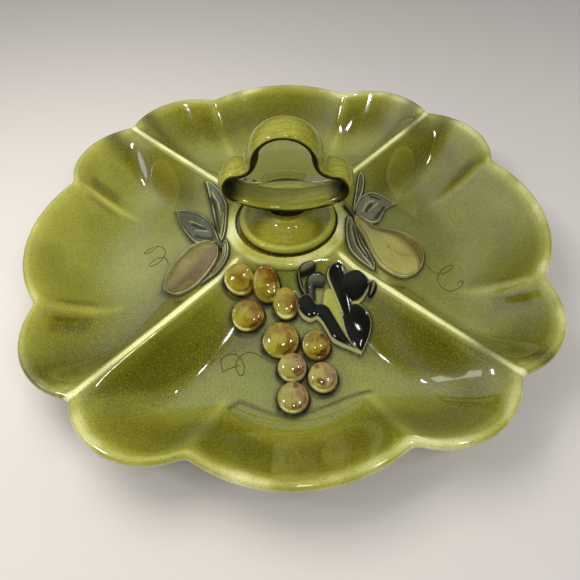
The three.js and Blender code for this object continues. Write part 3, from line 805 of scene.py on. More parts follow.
def make_handle(material):
    foot_top = HANDLE_FOOT_EDGE + HANDLE_FOOT_DOME
    loop_base = foot_top + NECK_LENGTH + STRAP_THICKNESS / 2
    neck = handle_neck(HANDLE_FOOT_EDGE, loop_base)
    bm = cast_in_one([strap_loop(loop_base), neck, handle_foot()])
    layers = glaze_layers(bm)
    bent_masks(bm, layers)
    for vert in bm.verts:
        if vert.co.z > loop_base + STRAP_THICKNESS:
            shade_arch(vert, layers, loop_base)
        if vert.co.z > loop_base - STRAP_THICKNESS:
            shade_strap(vert, layers, loop_base)
        elif vert.co.z < NECK_START:
            shade_foot(vert, layers)
    turn = Matrix.Rotation(HANDLE_TURN, 3, "Z")
    bmesh.ops.rotate(bm, cent=(0, 0, 0), matrix=turn, verts=bm.verts)
    bmesh.ops.translate(bm, vec=(HANDLE_SHIFT, 0, HANDLE_BASE), verts=bm.verts)
    finish_piece("carrying_handle", bm, "body_glaze", material, "handle")


# Relief: places are millimetres out from the boss and aside from the compartment's middle

def plan_place(bearing, out, aside):
    x = BOSS_RADIUS + out
    return Vector((x * math.cos(bearing) - aside * math.sin(bearing),
                   x * math.sin(bearing) + aside * math.cos(bearing)))


def plan_line(bearing, places):
    return [plan_place(bearing, *place) for place in places]


# Painted dark reflection line at the lowest part of the front compartment
DARK_REFLECTION_LINE = plan_line(FRONT, [
    (75.4, -36.9), (71.5, -31.1), (74.8, -23.4), (78.7, -15.8), (81.2, -8.3), (81.3, -0.2),
    (79.2, 8), (76.3, 17), (73, 26.1), (70.7, 34.1), (69.2, 41.5)])
REFLECTION_LINE_NEAR = 100
REFLECTION_LINE_FAR = 130


def spline(values, t):
    """Place on a curve through evenly shared places, at a share of its run."""
    last = len(values) - 1
    place = clamp01(t) * last
    at = min(int(place), last - 1) if last else 0
    w = place - at
    p0, p1, p2, p3 = (values[min(max(at + step, 0), last)] for step in (-1, 0, 1, 2))
    v0, v1 = (p2 - p0) * 0.5, (p3 - p1) * 0.5
    cubic = p1 * 2 - p2 * 2 + v0 + v1
    square = p2 * 3 - p1 * 3 - v0 * 2 - v1
    return cubic * w**3 + square * w**2 + v0 * w + p1


def across_line(line, t, step):
    """Heading square to a curve, from the places a step ahead and behind."""
    ahead = spline(line, t + step) - spline(line, t - step)
    return Vector((-ahead.y, ahead.x)).normalized()


def stroke_distance(place, stroke):
    """How far a place lies from a drawn stroke."""
    nearest = math.inf
    for a, b in zip(stroke, stroke[1:]):
        run = b - a
        share = clamp01((place - a).dot(run) / max(run.length_squared, TINY))
        nearest = min(nearest, (place - a - run * share).length)
    return nearest


def on_strokes(place, strokes, width):
    shares = (hump(stroke_distance(place, stroke), 0, width) for stroke in strokes)
    return max(shares, default=0.0)


BLADE_STEPS = 24
WIDTH_SAMPLES = 40
OUTLINE_SAMPLES = 80
BAND_STEP = 0.01
BAND_BLUNT = 0.1


class Blade:
    """Lobe of a sprig, between two edges that run from its base to its tip."""

    def __init__(self, bearing, near, far, ridges=(), cuts=()):
        self.near = plan_line(bearing, near)
        self.far = plan_line(bearing, far)
        self.ridges = [plan_line(bearing, stroke) for stroke in ridges]
        self.cuts = [plan_line(bearing, stroke) for stroke in cuts]
        shares = [step / WIDTH_SAMPLES for step in range(WIDTH_SAMPLES + 1)]
        self.most = max(self.row(share)[1].length for share in shares)

    def row(self, t):
        a, b = spline(self.near, t), spline(self.far, t)
        return (a + b) / 2, (b - a) / 2

    def outline(self):
        shares = [step / OUTLINE_SAMPLES for step in range(OUTLINE_SAMPLES + 1)]
        return [spline(edge, t) for edge in (self.near, self.far) for t in shares]


def band(bearing, spine, widths, blunt=BAND_BLUNT):
    """Blade of a given half width along a spine, with rounded ends."""
    near, far = [], []
    line = [Vector(place) for place in spine]
    for step in range(BLADE_STEPS + 1):
        t = step / BLADE_STEPS
        inside = clamp01(min(t, 1 - t) / blunt)
        half = max(0.0, spline(widths, t)) * round_share(1 - inside, 1)
        aside = across_line(line, t, BAND_STEP) * half
        place = spline(line, t)
        near.append(place - aside)
        far.append(place + aside)
    return Blade(bearing, near, far)


def grape_blade(place, across, along, lean):
    """Oval with the length across its middle, leaning aside by an angle."""
    near, far = [], []
    for step in range(BLADE_STEPS + 1):
        angle = math.pi * step / BLADE_STEPS
        run, side = -along * math.cos(angle), across * math.sin(angle)
        for edge, sign in ((near, -1), (far, 1)):
            edge.append((place[0] + run * math.cos(lean) - sign * side * math.sin(lean),
                         place[1] + run * math.sin(lean) + sign * side * math.cos(lean)))
    return Blade(FRONT, near, far)


RELIEF_SINK = 1.6
INK_TAPER = 1.2
GRID_DIGITS = 5
WELD_GAP = 0.004
SPRIG_ALONG = 96
SPRIG_ACROSS = 48


def lay_blade(bm, blade, form, along, across, even):
    """Slab pressed to the ware: its grid follows the blade, and the form gives relief and glaze."""
    layers = [bm.verts.layers.float.get(name) for name in GLAZE_MASKS]
    made = bmesh.ops.create_grid(bm, x_segments=along, y_segments=across, size=1)
    faces = list(dict.fromkeys(face for vert in made["verts"] for face in vert.link_faces))
    raised = bmesh.ops.extrude_face_region(bm, geom=faces)["geom"]
    top = {part for part in raised if isinstance(part, bmesh.types.BMVert)}
    rows, columns = {}, {}
    for vert in list(top) + made["verts"]:
        key = (round(vert.co.x, GRID_DIGITS), round(vert.co.y, GRID_DIGITS))
        if key not in columns:
            if key[0] not in rows:
                share = key[0] if even else math.sin(QUARTER * key[0])
                t = (1 + share) / 2
                middle, reach = blade.row(t)
                rows[key[0]] = (t, middle, reach.length, reach.normalized())
            t, middle, half, heading = rows[key[0]]
            outer = half + INK_LINE * ramp(half, 0, INK_TAPER)
            off = math.sin(QUARTER * key[1]) * outer
            place = middle + heading * off
            columns[key] = (place, crown_at(place.x, place.y), form(blade, place, t, off, half))
        place, ware, (height, *masks) = columns[key]
        vert.co = (place.x, place.y, ware + (height if vert in top else -RELIEF_SINK))
        for layer, mask in zip(layers, masks):
            vert[layer] = mask


def make_sprig(name, blades, form, slot, material, node=None,
               along=SPRIG_ALONG, across=SPRIG_ACROSS, even=False):
    bm = bmesh.new()
    glaze_layers(bm)
    for blade in blades:
        lay_blade(bm, blade, form, along, across, even)
    bmesh.ops.remove_doubles(bm, verts=bm.verts, dist=WELD_GAP)
    finish_piece(name, bm, slot, material, node)


# Forms: each gives the height over the ware, then thin glaze with painted highlight, deep glaze,
# tone and ink

INK_RISE = 0.12
PLATE_RUN = 0.6
EDGE_INK = (0.2, -0.2)

GRAPE_RISE = 5.8
GRAPE_FULLNESS = 0.6
GRAPE_EDGE_INK = (0.4, 0.1)
GRAPE_TONE = (0.5, 0.65, -0.25)
CRESCENT_BIAS = 0.1
CRESCENT_LEAST = 0.2
HIGHLIGHT_CRESCENT = (0.9, 0.5)
BROWN_CRESCENT = (2.0, 0.7)
BROWN_LEAN = 0.7
SPOT_DEEP = 0.9
SPOT_EDGE = (0.24, 0.12)

FRUIT_PLATE = 1.0
FRUIT_BEAD = (0.8, 0.55)
FRUIT_BEAD_RISE = 0.5
FRUIT_GROOVE = (2.4, 0.6)
FRUIT_GROOVE_START = (3, 7)
FRUIT_GROOVE_SINK = 0.35
FRUIT_GROOVE_DEEP = 0.55
FRUIT_CUT_WIDTH = 0.5
FRUIT_CUT_SINK = 0.25
FRUIT_CUT_INK = 0.55
FRUIT_TONE_TURN = 1.1

LEAF_PLATE = 1.0
LEAF_DOME = 0.9
LEAF_BEAD = (0.65, 0.45)
LEAF_BEAD_RISE = 0.5
VEIN_WIDTH = 0.5
VEIN_RISE = 0.6
LEAF_CUT_WIDTH = 0.9
LEAF_CUT_SINK = 0.5
LEAF_CUT_INK = 0.7
RECESS_DEEP = 0.7
RECESS_BAND = (1.7, 0.6)
RECESS_START = (1.5, 3.5)
RECESS_INK = 0.65

VINE_PLATE = 1.4
VINE_DOME = 2.4
VINE_FULLNESS = 0.7
VINE_BEAD = (0.25, 0.5)
VINE_BEAD_RISE = 0.3
VINE_EDGE_INK = (-0.2, -0.6)

STEM_RISE = 3.0
# Painted highlight along the stem's top, with thin glaze
STEM_THIN_AND_HIGHLIGHT = 0.35
STEM_HIGHLIGHT = (0.95, 0.2)
STEM_EDGE_INK = (0.3, -0.1)

GAP_RISE = 0.3
GAP_THIN = 0.5
LINE_RISE = 0.3


def dome_share(blade, off, half):
    """Share of a domed section's height, less where the blade is narrow."""
    return round_share(off, half) * (half / blade.most) ** 0.5


def grape_form(spots, lit):
    """Domed grape: a pale rim, widened on its lit side into a painted highlight crescent, a dark
    one at its lower right, brown spots.
    """
    def form(blade, place, t, off, half):
        dome = round_share(off, half) * half / blade.most
        edge = (1 - round_share(dome, 1)) * blade.most if abs(off) < half else half - abs(off)
        height = INK_RISE + GRAPE_RISE * dome**GRAPE_FULLNESS if edge > 0 else INK_RISE
        aside = off / blade.most
        ahead = -math.cos(math.pi * t)
        highlight_side = clamp01(lit[0] * aside + lit[1] * ahead + CRESCENT_BIAS)
        dark_side = clamp01(BROWN_LEAN * (ahead + aside) + CRESCENT_BIAS)
        # Painted highlight: the rim's pale crescent is strongest on the lit side
        rim_and_highlight = mix(CRESCENT_LEAST, 1, highlight_side) * hump(edge, *HIGHLIGHT_CRESCENT)
        brown = dark_side * hump(edge, *BROWN_CRESCENT)
        for spot in spots:
            away = math.hypot(aside - spot[0], ahead - spot[1])
            brown = max(brown, SPOT_DEEP * ramp(away, *SPOT_EDGE))
        middle, turn, slope = GRAPE_TONE
        tone = clamp01(middle + turn * aside + slope * ahead)
        return height, clamp01(rim_and_highlight), clamp01(brown), tone, ramp(edge, *GRAPE_EDGE_INK)
    return form


def fruit_form(rise, tone_shift):
    """Low domed fruit with a raised pale edge, and a sunk line inside it."""
    def form(blade, place, t, off, half):
        edge = half - abs(off)
        bead = hump(edge, *FRUIT_BEAD)
        groove = hump(edge, *FRUIT_GROOVE) * ramp(half, *FRUIT_GROOVE_START)
        cut = on_strokes(place, blade.cuts, FRUIT_CUT_WIDTH)
        height = INK_RISE + FRUIT_PLATE * ramp(edge, 0, PLATE_RUN)
        height += (rise - FRUIT_PLATE) * dome_share(blade, off, half)
        height += FRUIT_BEAD_RISE * bead - FRUIT_GROOVE_SINK * groove - FRUIT_CUT_SINK * cut
        side = off / half if half > TINY else 0.0
        tone = ease(0.5 + tone_shift + FRUIT_TONE_TURN * side)
        ink_and_shade = max(ramp(edge, *EDGE_INK), FRUIT_CUT_INK * cut)
        return height, bead, FRUIT_GROOVE_DEEP * groove, tone, ink_and_shade
    return form


def leaf_form(blade, place, t, off, half):
    """Flat leaf with a raised pale edge, drawn veins, and sunk dark lines."""
    edge = half - abs(off)
    dome = dome_share(blade, off, half)
    bead = hump(edge, *LEAF_BEAD)
    vein = on_strokes(place, blade.ridges, VEIN_WIDTH)
    cut = on_strokes(place, blade.cuts, LEAF_CUT_WIDTH)
    recess = RECESS_DEEP * hump(edge, *RECESS_BAND) * ramp(half, *RECESS_START)
    height = INK_RISE + LEAF_PLATE * ramp(edge, 0, PLATE_RUN) + LEAF_DOME * dome
    height += LEAF_BEAD_RISE * bead + VEIN_RISE * vein - LEAF_CUT_SINK * cut
    ink_and_shade = max(ramp(edge, *EDGE_INK), RECESS_INK * recess, LEAF_CUT_INK * cut)
    return height, max(bead, vein), max(recess, cut), dome, ink_and_shade


def vine_form(blade, place, t, off, half):
    """Plump black lobe with a thin pale edge."""
    edge = half - abs(off)
    dome = dome_share(blade, off, half)
    bead = hump(edge, *VINE_BEAD)
    height = INK_RISE + VINE_PLATE * ramp(edge, 0, PLATE_RUN) + VINE_DOME * dome**VINE_FULLNESS
    return height + VINE_BEAD_RISE * bead, bead, 0.0, dome, ramp(edge, *VINE_EDGE_INK)


def stem_form(blade, place, t, off, half):
    """Round stem, paler along its top with thin glaze and a painted highlight."""
    edge = half - abs(off)
    dome = dome_share(blade, off, half)
    height = INK_RISE + STEM_RISE * dome if edge > 0 else INK_RISE
    return height, STEM_THIN_AND_HIGHLIGHT * hump(dome, *STEM_HIGHLIGHT), 0.0, dome, ramp(edge, *STEM_EDGE_INK)


def bare_form(blade, place, t, off, half):
    """Ware left pale between two dark pieces."""
    return GAP_RISE, GAP_THIN, 0.0, 0.0, 0.0


def line_form(blade, place, t, off, half):
    """Fine drawn line."""
    return INK_RISE + LINE_RISE * round_share(off, half), 0.0, 0.0, 0.0, 1.0


# Oval grapes: place, half across, half along, lean
GRAPES = [
    ((6.6, -29.6), 9.1, 8.3, 0.0), ((9.9, -14.0), 7.9, 9.6, 0.45), ((25.4, -25.4), 9.7, 8.9, 0.0),
    ((20.2, -3.2), 7.6, 9.5, 0.1), ((40.6, -7.1), 10.6, 10.1, 0.0), ((44.4, 13.0), 8.2, 8.3, 0.1),
    ((56.0, -1.4), 8.3, 8.1, 0.0), ((62.0, 15.3), 8.5, 8.6, 0.0), ((72.2, -1.8), 8.8, 9.0, 0.0),
]

FIRST_ROSY_GRAPE = 6

# Brown spots of the lower grapes, as shares of their reach aside and ahead
GRAPE_SPOTS = {
    4: [(0.2, -0.8)],
    5: [(0.5, -0.5), (0.35, 0.65)],
    6: [(0.3, -0.62), (0.42, 0.3), (0.2, 0.42)],
    7: [(-0.35, -0.55), (-0.25, 0.35), (-0.05, 0.45)],
    8: [(0.2, -0.62), (0.05, 0.68)],
}

# Side of each grape on which its painted highlight crescent lies: aside and ahead
LOWER_LEFT = (-0.7, 0.7)
GRAPE_LIT = {4: (-0.95, -0.15), 5: (-0.95, -0.15)}

VINE_RIB = Blade(
    FRONT,
    [(0.6, 30.2), (0.8, 26.2), (2.6, 23.2), (6.2, 22.3), (11.4, 24), (18.1, 26.4), (26.8, 29.2),
     (36.2, 31.8), (42.5, 33)],
    [(0.6, 30.2), (2.2, 32), (5.5, 32.6), (10.3, 33.4), (16.8, 34.6), (22.6, 35.9), (30.2, 37),
     (37.3, 36.2), (42.5, 33)])
VINE_UPPER_LOBE = Blade(
    FRONT,
    [(14, 26), (7.4, 29.6), (5.2, 35.6), (6, 40.1), (9.3, 43.2), (13, 45), (15.6, 45.4)],
    [(14, 26), (20.8, 30), (22.6, 37.4), (21.5, 41.1), (19.3, 43.4), (17.4, 45), (15.6, 45.4)])
VINE_LOWER_LOBE = Blade(
    FRONT,
    [(26.5, 28.6), (22.4, 33), (22.6, 38.2), (24.7, 41.4), (28.7, 44.5), (33.2, 45.6), (38.1, 44.4),
     (43.4, 41.6), (48.7, 38.4)],
    [(26.5, 28.6), (34, 29.6), (40.1, 31), (44.1, 33), (46.8, 35.5), (48.7, 38.4)])
VINE_ARM = Blade(
    FRONT,
    [(20.2, 3.7), (16.5, 6), (14.8, 9.6), (16.9, 12.4), (20.5, 14.5), (20.5, 18), (22.6, 21.7),
     (27.4, 24.5), (33.1, 27.5), (38.8, 30.7), (44.3, 34.5), (48.8, 38.4)],
    [(20.2, 3.7), (24.3, 4), (28.4, 7), (30.2, 10.9), (29.1, 14.5), (31.7, 17.2), (36.3, 19.7),
     (41.1, 22.2), (43.9, 26.6), (46.1, 32.1), (48.8, 38.4)])

VINE_GAP = Blade(
    FRONT,
    [(11.5, 21.5), (15, 20.4), (20.2, 19.6), (22.9, 22.6), (27.6, 25.2), (33.1, 28), (38.8, 31)],
    [(11.5, 21), (13.5, 24.6), (18.1, 26.4), (22.5, 27.9), (26.8, 29.2), (31.5, 30.6), (38.8, 31)])

LEFT_FRUIT = Blade(
    LEFT,
    [(8.5, 11.4), (14.5, 3.8), (20.7, 3.2), (27.5, 5), (33.3, 10.5), (38.3, 16.1), (41.9, 22.8),
     (42.7, 28.5), (43, 32.9)],
    [(8.5, 11.4), (6.5, 16.3), (6.7, 21.2), (8.7, 27.1), (11.8, 33), (15.7, 39), (20.1, 43),
     (25.5, 43.6), (32.5, 41.2), (38.7, 36.7), (43, 32.9)],
    cuts=[[(10.5, 9.5), (17.5, 6.2), (25.5, 8.6), (31.5, 14.2), (36, 20.5), (38.6, 27)]])
LEFT_LEAF_SIDE = Blade(
    LEFT,
    [(7.3, 9.6), (7, 6.4), (10.8, -6.1), (16.5, -18.2), (24.5, -28.1), (33.4, -35.5),
     (41.6, -39.5)],
    [(7.3, 9.6), (12.4, 6.2), (17.9, 4.5), (22.9, 2.2), (29.2, -7.3), (35.6, -20.8), (41.6, -39.5)],
    ridges=[[(28.9, -20.4), (18.8, -10.7)], [(24.3, -9.1), (14.9, -4.2)]],
    cuts=[[(27, -16.8), (17.5, -7.8)], [(11, 3.5), (19, -0.5), (23.5, -4)]])
LEFT_LEAF_UPPER = Blade(
    LEFT,
    [(4.6, 12.7), (7, 4.8), (9.9, -9.1), (12.8, -24.3), (15.6, -37.6), (18.4, -48.3)],
    [(4.6, 12.7), (2.4, 10.5), (1.2, 4.8), (0.9, -5.9), (1.1, -12.4), (2.2, -21.9), (6.6, -35),
     (12.4, -43.4), (18.4, -48.3)],
    ridges=[[(14, -38.5), (8.7, -27.4), (5.5, -10.9)], [(5.3, 9.5), (3.6, 0.5), (3.4, -11)]],
    cuts=[[(14.2, -34), (10.6, -24), (8.2, -9), (6.2, 4)]])
LEFT_LEAF_LOWER = Blade(
    LEFT,
    [(1.4, 14.4), (3.5, 15.7), (3.9, 22.1), (5.7, 28.1), (9.1, 34.7), (12.8, 40.3), (16, 45.5)],
    [(1.4, 14.4), (-0.4, 18), (-0.8, 23.5), (0.4, 28.7), (3.6, 34.7), (8.4, 40.4), (16, 45.5)],
    ridges=[[(1.7, 17.7), (1.7, 25), (4.1, 30.8), (7.8, 37.6), (11.5, 42)]])

PEAR = Blade(
    RIGHT,
    [(8.4, 8.6), (13.4, 9.6), (18.5, 6.3), (22.6, 2.3), (29.7, 2.7), (37.5, 3.4), (44.1, 1.3),
     (48.9, -3), (51.6, -9), (51.9, -15.7), (48.9, -23.6), (44.2, -29.9)],
    [(8.4, 8.6), (6.9, 2.7), (9, -2.7), (11.9, -7.4), (14.3, -16.1), (16.7, -24.1), (20, -31.1),
     (24.6, -34.6), (29.7, -35.9), (36, -34.8), (44.2, -29.9)],
    cuts=[[(27.2, -14.5), (33.1, -19.6), (41.2, -19.5)],
          [(11.8, 7), (18.7, -0.6), (26.1, -1.6), (32.2, -1.9)]])
RIGHT_LEAF_SIDE = Blade(
    RIGHT,
    [(9.9, 13.2), (11.8, 22.5), (15.5, 29.7), (21.4, 35.9), (28.6, 39), (34.6, 38.2), (42.2, 34.6)],
    [(9.9, 13.2), (13.6, 10.1), (17.4, 7.7), (20.8, 7.2), (25.5, 10.5), (29.2, 17.9), (33.6, 26.5),
     (42.2, 34.6)],
    ridges=[[(15.1, 16), (19.2, 25.2), (25.1, 30.5)], [(19.7, 18.6), (27.8, 28.8)]],
    cuts=[[(17.4, 17.4), (23, 26.6)], [(22.6, 33.5), (29.5, 34)],
          [(23.5, 12), (27.6, 19.2), (31.8, 26.6)]])
RIGHT_LEAF_UPPER = Blade(
    RIGHT,
    [(7, 8.6), (9.8, 23.3), (12.4, 34.2), (14.3, 42), (16.8, 48.4)],
    [(7, 8.6), (12.7, 23.8), (16.5, 32.1), (19, 40.8), (19.2, 45.9), (16.8, 48.4)])
RIGHT_LEAF_LOWER = Blade(
    RIGHT,
    [(5.2, 1.4), (2.2, -0.7), (0.4, -6.4), (-0.6, -14.9), (-0.4, -21), (1, -26), (4, -30),
     (8.4, -34.6), (14.2, -39.7)],
    [(5.2, 1.4), (6.3, -4.3), (9, -8), (12.1, -15.3), (14.8, -23.7), (16.1, -30.9), (14.2, -39.7)],
    ridges=[[(3.6, -7.3), (4, -17.5), (8.2, -25), (13.3, -36)],
            [(6.2, -7.1), (8.5, -17.2), (12.4, -27)], [(8, -8.7), (13.2, -21.7), (15.1, -31.3)]],
    cuts=[[(5, -7.2), (6.3, -17.3), (10.6, -26.5)], [(7.3, -8), (11, -19.5), (13.9, -29.5)]])

BACK_FRUIT = Blade(
    BACK,
    [(2, 0), (3, -11), (9.5, -17.5), (18, -18.8), (26.5, -16.5), (31.5, -10.5), (33.2, 0)],
    [(2, 0), (3, 11), (9.5, 17.5), (18, 18.8), (26.5, 16.5), (31.5, 10.5), (33.2, 0)],
    cuts=[[(10, 14), (18.5, 11.5), (22, 3), (20.5, -6)], [(17.5, -2.7), (23.9, -6.2)],
          [(12, 8), (15.5, 0), (14, -7)]])

BACK_LEAF_RIGHT = Blade(
    BACK,
    [(14, -11), (8, -16), (4.5, -23), (4, -30), (7, -36.5)],
    [(14, -11), (20.5, -15), (23.5, -22), (19, -30), (7, -36.5)],
    ridges=[[(16.5, -13), (19.5, -20), (19, -26)], [(13, -14), (14.5, -21), (12.5, -29)],
            [(9.5, -16.5), (9.5, -23), (8, -31)]],
    cuts=[[(14.3, -12), (17.2, -18), (17, -24)], [(11, -15), (12, -21), (10.5, -28)],
          [(7.5, -18), (7, -25), (6.5, -32)]])
BACK_LEAF_LEFT = Blade(
    BACK,
    [(12.5, 15), (13, 22), (16.5, 31), (24.5, 42)],
    [(12.5, 15), (19.5, 18), (26, 27), (24.5, 42)],
    ridges=[[(14, 19), (19, 29), (23, 39)], [(16.5, 24), (21, 24.5)], [(19.5, 30), (24, 31)]],
    cuts=[[(15, 21.5), (19, 21)], [(18.2, 27.5), (22.8, 27.8)]])

GRAPE_STEM = band(FRONT, [(8.2, 21), (7.2, 16.5), (8.4, 12.6), (12.6, 12), (18.5, 12.2)],
                  [2.6, 2.8, 2.4, 2.0, 2.0], 0.12)
GRAPE_TWIG = band(FRONT, [(5, 5.8), (2.8, 9.9), (0.9, 15.4)], [1.1, 2.0, 1.5], 0.2)
THIN_STEM = band(FRONT, [(4.4, 5.4), (7.4, 5.6), (11, 6.6), (15.5, 9)], [0.7, 0.8, 0.8, 0.9])
VINE_CURL = band(FRONT, [(13.6, 48), (17.6, 47.6), (21.3, 45.3)], [0.9, 1.3, 0.8], 0.2)
LEFT_STALK = band(LEFT, [(7.3, 9.2), (5.6, 13.6), (2.6, 18.5)], [1.5, 1.5, 1.1], 0.15)
RIGHT_STALK = band(RIGHT, [(1.6, 10.5), (3.8, 7.8), (7.4, 5.6)], [1.3, 1.5, 1.3], 0.15)

FRUIT_RISE = 4.2
BACK_FRUIT_RISE = 2.8
PEAR_TONE = 0.45

# Sprigs: name, blades, form, slot and glaze
SPRIGS = [
    (f"grape_{at + 1}", [grape_blade(*grape)],
     grape_form(GRAPE_SPOTS.get(at, []), GRAPE_LIT.get(at, LOWER_LEFT)),
     "grape_glaze", "rosy_grape_glaze" if at >= FIRST_ROSY_GRAPE else "grape_glaze")
    for at, grape in enumerate(GRAPES)
] + [
    ("vine_leaf_upper", [VINE_RIB, VINE_UPPER_LOBE, VINE_LOWER_LOBE], vine_form,
     "vine_glaze", "vine_glaze"),
    ("vine_leaf_lower", [VINE_ARM], vine_form, "vine_glaze", "vine_glaze"),
    ("vine_gap_glaze", [VINE_GAP], bare_form, "body_glaze", "body_glaze"),
    ("vine_curl", [VINE_CURL], stem_form, "vine_glaze", "vine_glaze"),
    ("grape_stem", [GRAPE_STEM], stem_form, "stem_glaze", "stem_glaze"),
    ("grape_twig", [GRAPE_TWIG, THIN_STEM], stem_form, "stem_glaze", "vine_glaze"),
    ("left_fruit", [LEFT_FRUIT], fruit_form(FRUIT_RISE, 0), "fruit_glaze", "fruit_glaze"),
    ("left_leaf_side", [LEFT_LEAF_SIDE], leaf_form, "leaf_glaze", "leaf_glaze"),
    ("left_leaf_upper", [LEFT_LEAF_UPPER], leaf_form, "leaf_glaze", "leaf_glaze"),
    ("left_leaf_lower", [LEFT_LEAF_LOWER], leaf_form, "leaf_glaze", "leaf_glaze"),
    ("left_stalk", [LEFT_STALK], stem_form, "stem_glaze", "stem_glaze"),
    ("pear", [PEAR], fruit_form(FRUIT_RISE, PEAR_TONE), "pear_glaze", "pear_glaze"),
    ("right_leaf_side", [RIGHT_LEAF_SIDE], leaf_form, "leaf_glaze", "pale_leaf_glaze"),
    ("right_leaf_upper", [RIGHT_LEAF_UPPER], leaf_form, "leaf_glaze", "leaf_glaze"),
    ("right_leaf_lower", [RIGHT_LEAF_LOWER], leaf_form, "leaf_glaze", "pale_leaf_glaze"),
    ("right_stalk", [RIGHT_STALK], stem_form, "stem_glaze", "stem_glaze"),
    ("back_fruit", [BACK_FRUIT], fruit_form(BACK_FRUIT_RISE, 0),
     "fruit_glaze", "green_fruit_glaze"),
    ("back_leaf_right", [BACK_LEAF_RIGHT], leaf_form, "leaf_glaze", "leaf_glaze"),
    ("back_leaf_left", [BACK_LEAF_LEFT], leaf_form, "leaf_glaze", "leaf_glaze"),
]

# Sprigs that are only in this scene; each other one stands for the CAD node of its name
SCENE_ONLY = {"vine_gap_glaze", "vine_curl", "left_stalk", "right_stalk"}

# Tendrils: fine drawn lines that curl away from the fruit
TENDRILS = {
    "left_tendril": (LEFT, [
        (41.3, 13.7), (42, 10.7), (43.5, 7.8), (45.2, 5.6), (47.8, 4.9), (50.1, 4.7), (52.6, 5.5),
        (54.7, 6.9), (55.5, 9), (54.1, 10.1), (51.3, 10), (48.4, 8.7), (46.3, 6.6), (45.1, 4.3),
        (44.6, 1.7), (45.3, -1), (46.8, -3.6), (49.4, -6), (51.5, -6.8), (52.9, -6.1), (54.7, -4.2),
        (56.6, -3.1), (59.1, -3.3), (60.7, -4.2), (58.8, -5.8), (56.5, -6.7), (54.3, -7.2)]),
    "right_tendril": (RIGHT, [
        (52.1, -18.9), (53, -21), (54.1, -23.7), (55.8, -25.6), (58.1, -26.6), (60.5, -26.6),
        (63.3, -26.1), (67.5, -23.6), (70.1, -21.4), (71.5, -18.7), (69.5, -18.6), (66.8, -20.1),
        (63.4, -22.8), (60.7, -26), (58.9, -28.9), (58, -31.6), (58.3, -34.7), (59.1, -36.4),
        (60.7, -38.3), (63.3, -39.8), (65.7, -39.7), (69.4, -38.6), (72.2, -36.7), (74.4, -34),
        (74.6, -31.9), (72.9, -32.6), (70.6, -34)]),
    "front_tendril": (FRONT, [
        (48.9, -17.6), (46.4, -20.5), (44.7, -24.4), (44.8, -27.5), (46.5, -30.8), (49.2, -32.8),
        (51.9, -33.4), (54.7, -32.5), (57, -30.4), (55.1, -28.7), (52.4, -28.5), (49, -29.5),
        (46.5, -31.3), (44.7, -33.7), (44.3, -37.1), (45.5, -40.4), (48.1, -41.9), (51.2, -41.2),
        (53.6, -40.9), (53.1, -39.1), (52.3, -36.7), (51.6, -33.4), (51.1, -31.1)]),
}
TENDRIL_WIDTH = 0.2
TENDRIL_TAPER = 0.03
TENDRIL_STEP = 0.004
TENDRIL_ALONG = 12
TENDRIL_ACROSS = 4


class DrawnLine:
    """Thin line of colour laid along drawn places."""

    def __init__(self, bearing, places):
        self.line = plan_line(bearing, places)

    def row(self, t):
        thickness = TENDRIL_WIDTH * math.sqrt(clamp01(min(t, 1 - t) / TENDRIL_TAPER))
        return spline(self.line, t), across_line(self.line, t, TENDRIL_STEP) * thickness


# Glazes

class NodeKit:
    """Short ways to add nodes to a tree; each takes plain values or sockets, and gives a socket."""

    def __init__(self, tree):
        self.nodes, self.links = tree.nodes, tree.links

    def feed(self, value, target):
        if isinstance(value, bpy.types.NodeSocket):
            self.links.new(value, target)
        else:
            target.default_value = value

    def noise(self, scale, detail, where):
        node = self.nodes.new("ShaderNodeTexNoise")
        for name, value in (("Scale", scale), ("Detail", detail), ("Vector", where)):
            self.feed(value, node.inputs[name])
        return node.outputs["Fac"]

    def span(self, value, low, high, to_low=0.0, to_high=1.0):
        node = self.nodes.new("ShaderNodeMapRange")
        node.interpolation_type = "SMOOTHSTEP"
        for name, given in (("Value", value), ("From Min", low), ("From Max", high),
                            ("To Min", to_low), ("To Max", to_high)):
            self.feed(given, node.inputs[name])
        return node.outputs["Result"]

    def maths(self, operation, a, b, limit=False):
        node = self.nodes.new("ShaderNodeMath")
        node.operation = operation
        node.use_clamp = limit
        self.feed(a, node.inputs[0])
        self.feed(b, node.inputs[1])
        return node.outputs[0]

    def blend(self, factor, a, b, kind="MIX"):
        node = self.nodes.new("ShaderNodeMix")
        node.data_type = "RGBA"
        node.blend_type = kind
        self.feed(factor, node.inputs["Factor"])
        for name, value in (("A", a), ("B", b)):
            self.feed(value, next(s for s in node.inputs if s.name == name and s.type == "RGBA"))
        return next(s for s in node.outputs if s.type == "RGBA")

    def attribute(self, name):
        node = self.nodes.new("ShaderNodeAttribute")
        node.attribute_name = name
        return node.outputs["Fac"]


# Noise of the glaze: scale and detail, then the spans of it that show
CLOUD_DETAIL = 3
WAVE = (30, 2)
WISP = (150, 4)
GRAIN = (1100, 2)
BRUSHED = (1100, 4)
BRUSH_STRETCH = (0.09, 1, 0.09)
STREAK_SPAN = (0.35, 0.65, -0.5, 0.5)
CLOUD_SPAN = (0.35, 0.68, -0.5, 0.5)
BARE_SPAN = (0.7, 1.0)
FLECK_SPAN = (0.55, 0.7)
FLECK_TINT = (0.35, 0.36, 0.3, 1)
BLOOM_SPAN = (0.3, 0.44, 1, 0)
BLOOM_STRENGTH = 0.5
INK_SPAN = (0.25, 0.6, 0.75, 1.0)
ROUGH_SPAN = (0.3, 0.75, 0.05, 0.13)
INK_ROUGHNESS = 0.7
WISP_HEIGHT = 0.12
WAVE_STRENGTH = 0.4
WAVE_HEIGHT = 0.0012
COAT_ROUGHNESS = 0.06

